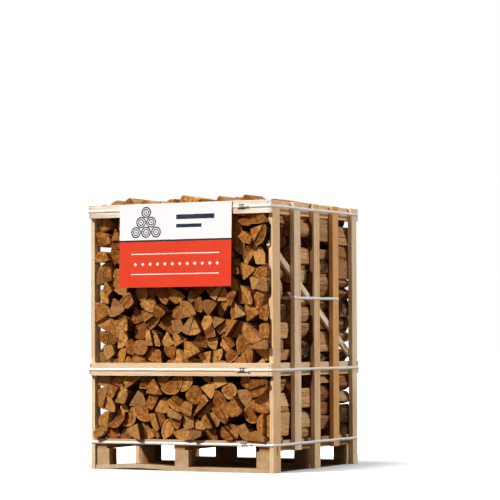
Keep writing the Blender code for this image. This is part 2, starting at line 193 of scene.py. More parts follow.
class Graph:
    """Adds nodes to a tree and joins them, so that a finish reads as a list of steps."""

    def __init__(self, tree: bpy.types.NodeTree) -> None:
        """Keeps the tree."""
        self.tree = tree

    def node(self, kind: str, inputs: dict[str | int, Any] | None = None, **settings: Any) -> bpy.types.Node:
        """Adds a node.

        Args:
            kind: Blender's name of the node type.
            inputs: Value or socket for each input, by name or number.
            settings: The node's own properties.

        Returns:
            The new node.
        """
        made = self.tree.nodes.new(kind)
        for name, value in settings.items():
            setattr(made, name, value)
        for name, value in (inputs or {}).items():
            if isinstance(value, bpy.types.NodeSocket):
                self.tree.links.new(value, made.inputs[name])
            else:
                made.inputs[name].default_value = value
        return made

    def math(self, operation: str, a: Any, b: Any = 0.0, c: Any = 0.0, clamp: bool = False) -> bpy.types.NodeSocket:
        """Adds a Math node and returns its value."""
        return self.node("ShaderNodeMath", {0: a, 1: b, 2: c}, operation=operation, use_clamp=clamp).outputs[0]

    def vector(self, operation: str, a: Any, b: Any = (0.0, 0.0, 0.0)) -> bpy.types.NodeSocket:
        """Adds a Vector Math node and returns its vector."""
        return self.node("ShaderNodeVectorMath", {0: a, 1: b}, operation=operation).outputs[0]

    def length(self, a: Any) -> bpy.types.NodeSocket:
        """Returns the length of a vector."""
        return self.node("ShaderNodeVectorMath", {0: a}, operation="LENGTH").outputs[1]

    def split(self, vector: Any) -> list[bpy.types.NodeSocket]:
        """Returns the three parts of a vector."""
        return list(self.node("ShaderNodeSeparateXYZ", {0: vector}).outputs)

    def join(self, x: Any, y: Any, z: Any) -> bpy.types.NodeSocket:
        """Returns a vector of three values."""
        return self.node("ShaderNodeCombineXYZ", {0: x, 1: y, 2: z}).outputs[0]

    def mix(self, share: Any, a: Any, b: Any, blend: str = "MIX") -> bpy.types.NodeSocket:
        """Adds a colour mix and returns its colour."""
        settings = {"data_type": "RGBA", "blend_type": blend}
        return self.node("ShaderNodeMix", {0: share, 6: a, 7: b}, **settings).outputs[2]

    def spread(self, value: Any, low: float, high: float, to_low: float = 0.0, to_high: float = 1.0) -> Any:
        """Maps a value's range to another, clamped at both ends, and returns the result."""
        inputs = {0: value, 1: low, 2: high, 3: to_low, 4: to_high}
        return self.node("ShaderNodeMapRange", inputs, interpolation_type="SMOOTHSTEP").outputs[0]

    def ramp(self, value: Any, stops: Sequence[tuple[float, Colour]]) -> bpy.types.NodeSocket:
        """Adds a colour ramp.

        Args:
            value: The socket that runs through the ramp.
            stops: Place and colour of each stop, from low to high.

        Returns:
            The ramp's colour.
        """
        made = self.node("ShaderNodeValToRGB", {0: value})
        ramp = made.color_ramp
        while len(ramp.elements) < len(stops):
            ramp.elements.new(0.5)
        for element, (place, colour) in zip(ramp.elements, stops):
            element.position = place
            element.color = colour
        return made.outputs[0]

    def noise(self, vector: Any, scale: float, detail: float = 2.0, rough: float = 0.5, twist: float = 0.0) -> Any:
        """Adds a noise texture and returns its value."""
        inputs = {"Vector": vector, "Scale": scale, "Detail": detail, "Roughness": rough, "Distortion": twist}
        return self.node("ShaderNodeTexNoise", inputs).outputs[0]

    def attribute(self, name: str) -> bpy.types.NodeSocket:
        """Returns a mesh attribute as a vector."""
        return self.node("ShaderNodeAttribute", attribute_name=name).outputs["Vector"]

    def place(self, kind: bpy.types.NodeTree, inputs: dict[str, Any]) -> bpy.types.Node:
        """Places a shader group with its values and returns the node."""
        return self.node("ShaderNodeGroup", inputs, node_tree=kind)

    def scale(self, vector: Any, factor: Any) -> bpy.types.NodeSocket:
        """Returns a vector times a number."""
        return self.node("ShaderNodeVectorMath", {0: vector, "Scale": factor}, operation="SCALE").outputs[0]

    def object_place(self) -> bpy.types.NodeSocket:
        """Returns the place in the object's own coordinates."""
        return self.node("ShaderNodeTexCoord").outputs["Object"]

    def store(self, geometry: Any, name: str, value: Any) -> bpy.types.NodeSocket:
        """Returns geometry with a vector kept on its points under a name."""
        inputs = {"Geometry": geometry, "Name": name, "Value": value}
        return self.node("GeometryNodeStoreNamedAttribute", inputs, data_type="FLOAT_VECTOR", domain="POINT").outputs[0]


class Group(Graph):
    """A node group under construction, with named inputs and outputs."""

    def __init__(self, name: str, kind: str, inputs: dict[str, tuple[str, Any]], outputs: dict[str, str]) -> None:
        """Makes the group's sockets.

        Args:
            name: Name of the group.
            kind: ShaderNodeTree or GeometryNodeTree.
            inputs: Socket type and default of each input, None for no default.
            outputs: Socket type of each output.
        """
        super().__init__(bpy.data.node_groups.new(name, kind))
        self.identifiers: dict[str, str] = {}
        for title, (socket, default) in inputs.items():
            made = self.tree.interface.new_socket(title, in_out="INPUT", socket_type=f"NodeSocket{socket}")
            if default is not None:
                made.default_value = default
            self.identifiers[title] = made.identifier
        for title, socket in outputs.items():
            self.tree.interface.new_socket(title, in_out="OUTPUT", socket_type=f"NodeSocket{socket}")
        self.given = self.tree.nodes.new("NodeGroupInput").outputs
        self.result = self.tree.nodes.new("NodeGroupOutput").inputs

    def put_out(self, title: str, socket: bpy.types.NodeSocket) -> None:
        """Joins a socket to a named output."""
        self.tree.links.new(socket, self.result[title])

    def end_shape(self, geometry: bpy.types.NodeSocket) -> None:
        """Makes instances real, sets the given finish and puts the geometry out.

        Args:
            geometry: What the tree has made.
        """
        real = self.node("GeometryNodeRealizeInstances", {0: geometry}).outputs[0]
        inputs = {"Geometry": real, "Material": self.given["Finish"]}
        self.put_out("Geometry", self.node("GeometryNodeSetMaterial", inputs).outputs[0])


# Effects that more than one finish uses


def board_grain_group() -> bpy.types.NodeTree:
    """Growth rings, fibres and knots of sawn softwood in a board's own coordinates, with the length along X.

    Returns:
        The shader group.
    """
    inputs = {"Place": ("Vector", None), "Ring Width": ("Float", 0.005), "Wander": ("Float", 0.010)}
    outputs = {"Rings": "Float", "Fibre": "Float", "Knot": "Float", "Height": "Float"}
    g = Group("board_grain", "ShaderNodeTree", inputs, outputs)
    place = g.given["Place"]
    slow = g.vector("MULTIPLY", place, (1.6, 9.0, 9.0))
    drift = g.node("ShaderNodeTexNoise", {"Vector": slow, "Scale": 1.0, "Detail": 2.0}).outputs[1]
    drift = g.vector("SUBTRACT", drift, (0.5, 0.5, 0.5))
    drift = g.scale(drift, g.given["Wander"])

    knot_place = g.vector("MULTIPLY", place, (3.1, 11.0, 2.0))
    knots = g.node("ShaderNodeTexVoronoi", {"Vector": knot_place, "Scale": 1.0, "Randomness": 1.0})
    knot = g.spread(knots.outputs["Distance"], 0.085, 0.13, 1.0, 0.0)
    sparse = g.spread(g.split(knots.outputs["Color"])[0], 0.52, 0.56)
    knot = g.math("MULTIPLY", knot, sparse)
    bulge = g.math("MULTIPLY", g.spread(knots.outputs["Distance"], 0.10, 0.42, 1.0, 0.0), sparse)

    moved = g.vector("ADD", place, drift)
    _, across, through = g.split(moved)
    across = g.math("ADD", across, g.math("MULTIPLY", bulge, 0.008))
    radius = g.length(g.join(0.0, across, through))
    wave = g.math("SINE", g.math("DIVIDE", g.math("MULTIPLY", radius, math.tau), g.given["Ring Width"]))
    rings = g.spread(wave, -0.2, 1.0)
    fibre = g.noise(g.vector("MULTIPLY", moved, (22.0, 900.0, 900.0)), 1.0, 3.0, 0.6)
    height = g.math("MULTIPLY_ADD", rings, -0.35, g.math("MULTIPLY", fibre, 0.8))
    for title, socket in zip(outputs, (rings, fibre, knot, height)):
        g.put_out(title, socket)
    return g.tree


def grime_group() -> bpy.types.NodeTree:
    """Dust and handling marks in patches, thicker near the floor.

    Returns:
        The shader group.
    """
    inputs = {"Amount": ("Float", 0.5), "Patch Size": ("Float", 0.12)}
    g = Group("grime", "ShaderNodeTree", inputs, {"Mask": "Float"})
    place = g.object_place()
    scale = g.math("DIVIDE", 1.0, g.given["Patch Size"])
    broad = g.node("ShaderNodeTexNoise", {"Vector": place, "Scale": scale, "Detail": 6.0, "Roughness": 0.65})
    patches = g.spread(broad.outputs[0], 0.42, 0.78)
    low = g.spread(g.split(place)[2], 0.02, 0.30, 1.0, 0.15)
    mask = g.math("MULTIPLY", g.math("MULTIPLY_ADD", patches, 0.8, g.math("MULTIPLY", low, 0.25)), g.given["Amount"])
    g.put_out("Mask", g.math("MINIMUM", mask, 1.0))
    return g.tree


def ring_disc_group() -> bpy.types.NodeTree:
    """A disc drawn as two rings round a dot, for the print on the sign.

    Returns:
        The shader group.
    """
    inputs = {"Place": ("Vector", None), "Centre": ("Vector", (0.0, 0.0, 0.0)), "Radius": ("Float", 0.03)}
    g = Group("ring_disc", "ShaderNodeTree", inputs, {"Mask": "Float"})
    offset = g.vector("SUBTRACT", g.given["Place"], g.given["Centre"])
    share = g.math("DIVIDE", g.length(offset), g.given["Radius"])
    outer = g.math("COMPARE", share, 0.88, 0.12)
    middle = g.math("COMPARE", share, 0.50, 0.10)
    dot = g.math("LESS_THAN", share, 0.16)
    g.put_out("Mask", g.math("MAXIMUM", outer, g.math("MAXIMUM", middle, dot)))
    return g.tree


@dataclass(frozen=True)
class Effects:
    """The shared shader groups, each built once."""

    board_grain: bpy.types.NodeTree = field(default_factory=board_grain_group)
    grime: bpy.types.NodeTree = field(default_factory=grime_group)
    ring_disc: bpy.types.NodeTree = field(default_factory=ring_disc_group)


# Finishes


def new_finish(name: str) -> tuple[bpy.types.Material, Graph, bpy.types.Node]:
    """Makes a material.

    Args:
        name: The material's name.

    Returns:
        The material, its graph and its Principled shader.
    """
    made = bpy.data.materials.new(name)
    made.use_nodes = True
    return made, Graph(made.node_tree), made.node_tree.nodes["Principled BSDF"]


def connect(
    g: Graph, shader: bpy.types.Node, colour: Any, roughness: Any, height: Any, depth: float, gloss: float = 0.15
) -> None:
    """Joins a finish to its shader.

    Args:
        g: The material's graph.
        shader: Its Principled shader.
        colour: Base colour.
        roughness: Roughness, a socket or a number.
        height: Height for the bump, None for none.
        depth: Depth of the bump in metres.
        gloss: Specular level.
    """
    shader.inputs["Specular IOR Level"].default_value = gloss
    g.tree.links.new(colour, shader.inputs["Base Color"])
    if isinstance(roughness, bpy.types.NodeSocket):
        g.tree.links.new(roughness, shader.inputs["Roughness"])
    else:
        shader.inputs["Roughness"].default_value = roughness
    if height is not None:
        bump = g.node("ShaderNodeBump", {"Strength": 1.0, "Distance": depth, "Height": height})
        g.tree.links.new(bump.outputs["Normal"], shader.inputs["Normal"])


@dataclass(frozen=True)
class SawnPine:
    """Rough sawn pine: pale boards next to warmer ones, with rings, fibres, knots and handling marks, and painted shade
    on inner faces under the deck.
    """

    name: str
    fresh: Colour
    pale: Colour
    warm: Colour
    late: Colour
    knot: Colour
    dirt: Colour
    grime: float
    bark: Colour = srgb(70, 44, 20)
    # shade and inside: colour and strength of the painted shade on inner faces under the deck top
    shade: Colour = (0.42, 0.24, 0.11, 1.0)
    inside: float = 0.0

    def build(self, effects: Effects) -> bpy.types.Material:
        """Builds the material.

        Args:
            effects: The shared shader groups.

        Returns:
            The material.
        """
        made, g, shader = new_finish(self.name)
        place = g.attribute("place")
        grain = g.place(effects.board_grain, {"Place": place, "Ring Width": 0.0062, "Wander": 0.016})
        tint, wane, _ = g.split(g.attribute("tint"))
        colour = g.ramp(tint, [(0.0, self.fresh), (0.3, self.pale), (1.0, self.warm)])
        blotch = g.noise(g.vector("MULTIPLY", place, (2.5, 14.0, 14.0)), 1.0, 3.0)
        colour = g.mix(g.spread(blotch, 0.35, 0.75, 0.0, 0.45), colour, g.mix(0.5, self.warm, self.late))
        colour = g.mix(g.math("MULTIPLY", grain.outputs["Rings"], 0.42), colour, self.late)
        streak = g.spread(grain.outputs["Fibre"], 0.30, 0.75, 0.80, 1.10)
        colour = g.mix(1.0, colour, g.join(streak, streak, streak), "MULTIPLY")
        colour = g.mix(g.math("MULTIPLY", grain.outputs["Knot"], 0.85), colour, self.knot)
        dirt = g.place(effects.grime, {"Amount": self.grime, "Patch Size": 0.11}).outputs["Mask"]
        colour = g.mix(dirt, colour, self.dirt)
        colour = g.mix(g.spread(wane, 0.10, 0.35, 0.0, 0.95), colour, self.bark)
        # Painted shade: faces below the deck top that lie inward from the crate's outer faces are darkened towards the
        # shade colour, as strongly as inside says
        x, y, z = g.split(g.vector("ABSOLUTE", g.object_place()))
        from_side = g.math("SUBTRACT", CRATE.half_width, x)
        inside = g.math("MINIMUM", from_side, g.math("SUBTRACT", CRATE.half_depth, y))
        painted_shade = g.math("MULTIPLY", g.spread(inside, 0.020, 0.060), g.spread(z, 0.100, 0.124, self.inside, 0.0))
        colour = g.mix(painted_shade, colour, g.mix(1.0, colour, self.shade, "MULTIPLY"))
        roughness = g.spread(grain.outputs["Fibre"], 0.2, 0.8, 0.62, 0.82)
        connect(g, shader, colour, roughness, grain.outputs["Height"], 0.0007, 0.2)
        return made


@dataclass(frozen=True)
class LogEnd:
    """Sawn end of a birch log: golden sapwood, a warmer heart, faint rings, cracks and a pale rim."""

    name: str = "birch_log_end"
    dark: Colour = srgb(118, 64, 20)
    middle: Colour = srgb(176, 112, 46)
    light: Colour = srgb(214, 158, 86)
    heart: Colour = srgb(146, 76, 20)
    grey: Colour = srgb(154, 112, 68)
    rim: Colour = srgb(218, 172, 104)
    crack: Colour = srgb(48, 24, 10)

    def build(self, effects: Effects) -> bpy.types.Material:
        """Builds the material.

        Args:
            effects: The shared shader groups.

        Returns:
            The material.
        """
        made, g, shader = new_finish(self.name)
        section = g.attribute("section")
        a, b, _ = g.split(section)
        tone, red, dull = g.split(g.attribute("tone"))
        inner, barked, _ = g.split(g.attribute("inner"))
        flat = g.join(a, b, g.math("MULTIPLY", tone, 9.0))
        radius = g.length(g.join(a, b, 0.0))
        cloud = g.noise(flat, 46.0, 4.0, 0.65)
        zone = g.noise(g.join(g.math("MULTIPLY", radius, 75.0), g.math("MULTIPLY", tone, 50.0), 0.0), 1.0, 2.0)
        shade = g.math("MULTIPLY_ADD", g.math("SUBTRACT", cloud, 0.5), 1.7, tone)
        shade = g.math("MULTIPLY_ADD", g.math("SUBTRACT", zone, 0.5), 1.4, shade, clamp=True)
        colour = g.ramp(shade, [(0.0, self.dark), (0.45, self.middle), (1.0, self.light)])
        colour = g.mix(g.spread(dull, 0.72, 1.0, 0.0, 0.7), colour, self.grey)
        blot = g.noise(g.vector("ADD", flat, (3.1, 1.7, 0.0)), 32.0, 3.0, 0.6, 0.6)
        heart = g.math("MULTIPLY", g.spread(radius, 0.018, 0.055, 1.0, 0.0), g.spread(red, 0.25, 0.8))
        blots = g.math("MULTIPLY", g.spread(blot, 0.50, 0.66), g.spread(red, 0.15, 0.8, 0.25, 0.95))
        stain = g.math("MAXIMUM", g.math("MULTIPLY", heart, 0.55), g.math("MULTIPLY", blots, 0.7))
        colour = g.mix(stain, colour, self.heart)
        drift = g.math("MULTIPLY", g.noise(flat, 18.0, 2.0), 0.012)
        wave = g.math("SINE", g.math("MULTIPLY", g.math("ADD", radius, drift), math.tau / 0.0042))
        colour = g.mix(g.spread(wave, 0.0, 1.0, 0.0, 0.30), colour, self.dark)
        rim = g.math("MULTIPLY", g.spread(inner, 0.03, 0.20, 0.65, 0.0), barked)
        colour = g.mix(g.math("MULTIPLY", rim, g.spread(dull, 0.2, 0.7, 1.0, 0.4)), colour, self.rim)

        angle = g.math("ARCTAN2", b, a)
        spokes = g.vector("MULTIPLY", g.join(angle, tone, radius), (2.6, 31.0, 4.0))
        spoke = g.noise(spokes, 1.0, 3.0, 0.7)
        crack = g.math("COMPARE", spoke, 0.5, g.spread(radius, 0.004, 0.055, 0.016, 0.004))
        crack = g.math("MULTIPLY", crack, g.spread(g.noise(flat, 21.0), 0.48, 0.58))
        colour = g.mix(g.math("MULTIPLY", crack, 0.8), colour, self.crack)

        turned = {"Vector": flat, "Angle": g.math("MULTIPLY", red, 3.0)}
        saw = g.node("ShaderNodeVectorRotate", turned, rotation_type="Z_AXIS").outputs[0]
        marks = g.noise(g.vector("MULTIPLY", saw, (30.0, 650.0, 1.0)), 1.0, 2.0)
        height = g.math("MULTIPLY_ADD", marks, 0.0009, g.math("MULTIPLY", crack, -0.0016))
        height = g.math("MULTIPLY_ADD", g.noise(flat, 230.0, 3.0, 0.7), 0.0010, height)
        height = g.math("MULTIPLY_ADD", g.noise(flat, 55.0, 2.0, 0.5), 0.0060, height)
        connect(g, shader, colour, 0.82, height, 1.0)
        return made


@dataclass(frozen=True)
class SplitWood:
    """Cleft face of a log: long torn fibres in pale tan to grey-brown, with painted shade on the logs inside the stack.
    """

    name: str = "birch_split_face"
    dark: Colour = srgb(146, 92, 50)
    middle: Colour = srgb(229, 177, 122)
    light: Colour = srgb(251, 217, 168)
    grey: Colour = srgb(190, 148, 112)
    russet: Colour = srgb(168, 104, 66)
    painted_stack_shade: Colour = (0.27, 0.16, 0.085, 1.0)

    def build(self, effects: Effects) -> bpy.types.Material:
        """Builds the material.

        Args:
            effects: The shared shader groups.

        Returns:
            The material.
        """
        made, g, shader = new_finish(self.name)
        a, b, along = g.split(g.attribute("section"))
        tone, red, dull = g.split(g.attribute("tone"))
        place = g.vector("MULTIPLY", g.join(along, a, b), (5.0, 60.0, 60.0))
        place = g.vector("ADD", place, g.join(0.0, 0.0, g.math("MULTIPLY", tone, 40.0)))
        strand = g.noise(place, 1.0, 4.0, 0.62, 0.3)
        fine = g.noise(g.vector("MULTIPLY", place, (1.5, 9.0, 9.0)), 1.0, 3.0, 0.65)
        tone = g.math("MULTIPLY", tone, 0.85)
        shade = g.math("MULTIPLY_ADD", g.math("SUBTRACT", strand, 0.5), 1.1, tone, clamp=True)
        colour = g.ramp(shade, [(0.0, self.dark), (0.5, self.middle), (1.0, self.light)])
        colour = g.mix(g.spread(dull, 0.45, 1.0, 0.0, 0.6), colour, self.grey)
        colour = g.mix(g.spread(red, 0.50, 1.0, 0.0, 0.6), colour, self.russet)
        knots = g.noise(g.vector("MULTIPLY", place, (3.4, 0.7, 0.7)), 1.0, 3.0, 0.6, 0.5)
        colour = g.mix(g.spread(knots, 0.56, 0.68, 0.0, 0.65), colour, self.dark)
        streak = g.spread(fine, 0.25, 0.75, 0.78, 1.12)
        colour = g.mix(1.0, colour, g.join(streak, streak, streak), "MULTIPLY")
        # Painted shade: split faces of logs inside the stack, away from its sides and top, are multiplied by the
        # painted stack shade colour
        is_open = g.split(g.attribute("inner"))[2]
        colour = g.mix(is_open, g.mix(1.0, colour, self.painted_stack_shade, "MULTIPLY"), colour)
        height = g.math("MULTIPLY_ADD", strand, 0.012, g.math("MULTIPLY", fine, 0.003))
        connect(g, shader, colour, 0.85, height, 1.0)
        return made


@dataclass(frozen=True)
class Bark:
    """Birch bark: dark furrowed plates with pale papery patches and short cross marks."""

    name: str = "birch_bark"
    dark: Colour = srgb(38, 23, 12)
    brown: Colour = srgb(100, 64, 34)
    pale: Colour = srgb(178, 144, 102)

    def build(self, effects: Effects) -> bpy.types.Material:
        """Builds the material.

        Args:
            effects: The shared shader groups.

        Returns:
            The material.
        """
        made, g, shader = new_finish(self.name)
        a, b, along = g.split(g.attribute("section"))
        tone, red, _ = g.split(g.attribute("tone"))
        place = g.vector("MULTIPLY", g.join(along, g.math("ARCTAN2", b, a), tone), (16.0, 2.4, 25.0))
        broad = g.noise(place, 1.0, 5.0, 0.62, 0.4)
        papery = g.math("ADD", broad, g.math("MULTIPLY_ADD", red, 0.34, -0.17))
        colour = g.mix(g.spread(broad, 0.35, 0.62), self.dark, self.brown)
        colour = g.mix(g.spread(papery, 0.60, 0.72, 0.0, 0.75), colour, self.pale)
        dash = g.noise(g.vector("MULTIPLY", place, (14.0, 2.2, 1.0)), 1.0, 2.0)
        marks = g.spread(dash, 0.58, 0.66)
        colour = g.mix(g.math("MULTIPLY", marks, 0.8), colour, self.dark)
        crackle = g.noise(g.vector("MULTIPLY", place, (3.0, 5.0, 1.0)), 1.0, 6.0, 0.7)
        height = g.math("MULTIPLY_ADD", crackle, 0.009, g.math("MULTIPLY", marks, -0.001))
        connect(g, shader, colour, 0.9, height, 1.0)
        return made


@dataclass(frozen=True)
class WovenStrap:
    """White woven polypropylene strapping: a fine rib across, soft sheen and a little dirt."""

    name: str = "woven_strap"
    white: Colour = srgb(255, 250, 243)
    shade: Colour = srgb(234, 225, 214)
    dirt: Colour = srgb(150, 136, 120)

    def build(self, effects: Effects) -> bpy.types.Material:
        """Builds the material.

        Args:
            effects: The shared shader groups.

        Returns:
            The material.
        """
        made, g, shader = new_finish(self.name)
        along, across, _ = g.split(g.attribute("weave"))
        rib = g.math("SINE", g.math("MULTIPLY", along, math.tau / 0.0026))
        warp = g.math("SINE", g.math("MULTIPLY", across, math.tau / 0.0020))
        weave = g.math("MULTIPLY_ADD", g.math("MULTIPLY", rib, warp), 0.5, 0.5)
        colour = g.mix(g.math("MULTIPLY", weave, 0.35), self.white, self.shade)
        dirt = g.place(effects.grime, {"Amount": 0.22, "Patch Size": 0.06}).outputs["Mask"]
        colour = g.mix(dirt, colour, self.dirt)
        connect(g, shader, colour, 0.42, weave, 0.0004, 0.4)
        return made


@dataclass(frozen=True)
class DarkWire:
    """Drawn steel wire with a dark phosphate coat, worn brighter in places."""

    name: str = "dark_wire"
    coat: Colour = srgb(26, 22, 20)
    bare: Colour = srgb(78, 70, 62)

    def build(self, effects: Effects) -> bpy.types.Material:
        """Builds the material.

        Args:
            effects: The shared shader groups.

        Returns:
            The material.
        """
        made, g, shader = new_finish(self.name)
        place = g.object_place()
        worn = g.spread(g.noise(place, 240.0, 4.0, 0.7), 0.55, 0.70)
        colour = g.mix(worn, self.coat, self.bare)
        shader.inputs["Metallic"].default_value = 0.4
        connect(g, shader, colour, g.spread(worn, 0.0, 1.0, 0.5, 0.3), worn, 0.0001)
        return made


@dataclass(frozen=True)
class SignPrint:
    """Generic print on a thin panel: a pale upper part, a red lower part and plain dark and pale shapes."""

    name: str = "sign_print"
    pale: Colour = srgb(244, 243, 244)
    red: Colour = srgb(227, 58, 22)
    navy: Colour = srgb(30, 36, 62)
    dust: Colour = srgb(170, 150, 130)
    disc: float = 0.031
    disc_foot: Point2 = (0.105, 0.305)
    field_top: float = 0.262
    dark_bars: tuple[tuple[Point2, Point2], ...] = (
        ((0.36, 0.60), (0.372, 0.398)),
        ((0.36, 0.52), (0.326, 0.346)),
        ((0.0, 0.706), (0.252, 0.262)),
    )
    pale_span: Point2 = (0.075, 0.631)
    pale_rises: tuple[Point2, ...] = ((0.182, 0.187), (0.070, 0.075))
    diamond: float = 0.0105
    diamond_pitch: float = 0.047
    diamond_level: float = 0.128

    def build(self, effects: Effects) -> bpy.types.Material:
        """Builds the material.

        Args:
            effects: The shared shader groups.

        Returns:
            The material.
        """
        made, g, shader = new_finish(self.name)
        place = g.attribute("print")
        u, v, _ = g.split(place)
        colour = g.mix(g.math("LESS_THAN", v, self.field_top), self.pale, self.red)
        dark: Any = 0.0
        for row in range(3):
            for i in range(3 - row):
                across, up = (i + row / 2) * 2.06 * self.disc, row * 1.78 * self.disc
                centre = (self.disc_foot[0] + across, self.disc_foot[1] + up, 0.0)
                disc = g.place(effects.ring_disc, {"Place": place, "Centre": centre, "Radius": self.disc})
                dark = g.math("MAXIMUM", dark, disc.outputs["Mask"])
        for span, rise in self.dark_bars:
            dark = g.math("MAXIMUM", dark, self.bar(g, u, v, span, rise))
        colour = g.mix(dark, colour, self.navy)

        pitch = self.diamond_pitch
        across = g.math("SUBTRACT", g.math("PINGPONG", g.math("ADD", u, 0.014), pitch), pitch / 2)
        up = g.math("SUBTRACT", v, self.diamond_level)
        distance = g.math("ADD", g.math("ABSOLUTE", across), g.math("ABSOLUTE", up))
        row_mask = self.bar(g, u, v, self.pale_span, (0.0, 0.25))
        light = g.math("MULTIPLY", g.math("LESS_THAN", distance, self.diamond), row_mask)
        for rise in self.pale_rises:
            light = g.math("MAXIMUM", light, self.bar(g, u, v, self.pale_span, rise))
        colour = g.mix(light, colour, self.pale)
        dust = g.place(effects.grime, {"Amount": 0.10, "Patch Size": 0.2}).outputs["Mask"]
        colour = g.mix(dust, colour, self.dust)
        connect(g, shader, colour, 0.38, g.noise(place, 9.0, 1.0), 0.0006, 0.3)
        return made

    def bar(self, g: Graph, u: Any, v: Any, span: Point2, rise: Point2) -> bpy.types.NodeSocket:
        """Draws a plain bar.

        Args:
            g: The material's graph.
            u: Place across the panel, from its left edge.
            v: Place up the panel, from its foot.
            span: Left and right edge of the bar.
            rise: Lower and upper edge of the bar.

        Returns:
            The bar's mask.
        """
        inside_u = g.math("COMPARE", u, sum(span) / 2, (span[1] - span[0]) / 2)
        inside_v = g.math("COMPARE", v, sum(rise) / 2, (rise[1] - rise[0]) / 2)
        return g.math("MULTIPLY", inside_u, inside_v)


@dataclass(frozen=True)
class Finishes:
    """Every material of the crate."""

    frame_pine: bpy.types.Material
    pallet_pine: bpy.types.Material
    log_end: bpy.types.Material
    split_wood: bpy.types.Material
    bark: bpy.types.Material
    strap: bpy.types.Material
    wire: bpy.types.Material
    sign: bpy.types.Material

    @classmethod
    def build(cls) -> Finishes:
        """Builds the materials on one set of shared groups.

        Returns:
            The finishes.
        """
        effects = Effects()
        frame_pine = SawnPine(
            "frame_pine",
            fresh=srgb(255, 248, 230),
            pale=srgb(247, 216, 173),
            warm=srgb(241, 180, 112),
            late=srgb(214, 154, 92),
            knot=srgb(120, 70, 38),
            dirt=srgb(150, 118, 84),
            grime=0.30,
        )
        pallet_pine = SawnPine(
            "pallet_pine",
            fresh=srgb(240, 225, 196),
            pale=srgb(224, 198, 156),
            warm=srgb(206, 142, 74),
            late=srgb(178, 116, 58),
            knot=srgb(94, 56, 32),
            dirt=srgb(112, 82, 52),
            grime=0.55,
            # strength of the painted shade on the pallet's inner faces under the deck
            inside=0.9,
        )
        return cls(
            frame_pine=frame_pine.build(effects),
            pallet_pine=pallet_pine.build(effects),
            log_end=LogEnd().build(effects),
            split_wood=SplitWood().build(effects),
            bark=Bark().build(effects),
            strap=WovenStrap().build(effects),
            wire=DarkWire().build(effects),
            sign=SignPrint().build(effects),
        )


# Shapes made by Geometry Nodes


class ShapeTree:
    """A Geometry Nodes tree that makes one kind of piece from named inputs."""

    def __init__(self, group: Group) -> None:
        """Keeps the finished tree."""
        self.group = group

    def make(self, name: str, values: dict[str, Any], source: bpy.types.ID | None = None) -> bpy.types.Object:
        """Runs the tree and keeps its result as a plain mesh.

        Args:
            name: Name of the piece.
            values: Value of each named input.
            source: Mesh or curve that the tree starts from, or None.

        Returns:
            The piece, at the origin and without modifiers.
        """
        carrier = bpy.data.objects.new(f"{name}_source", source or bpy.data.meshes.new(f"{name}_source"))
        bpy.context.scene.collection.objects.link(carrier)
        modifier = carrier.modifiers.new("shape", "NODES")
        modifier.node_group = self.group.tree
        for title, value in values.items():
            modifier[self.group.identifiers[title]] = value
        graph = bpy.context.evaluated_depsgraph_get()
        mesh = bpy.data.meshes.new_from_object(carrier.evaluated_get(graph))
        bpy.data.objects.remove(carrier)
        return link(name, mesh)


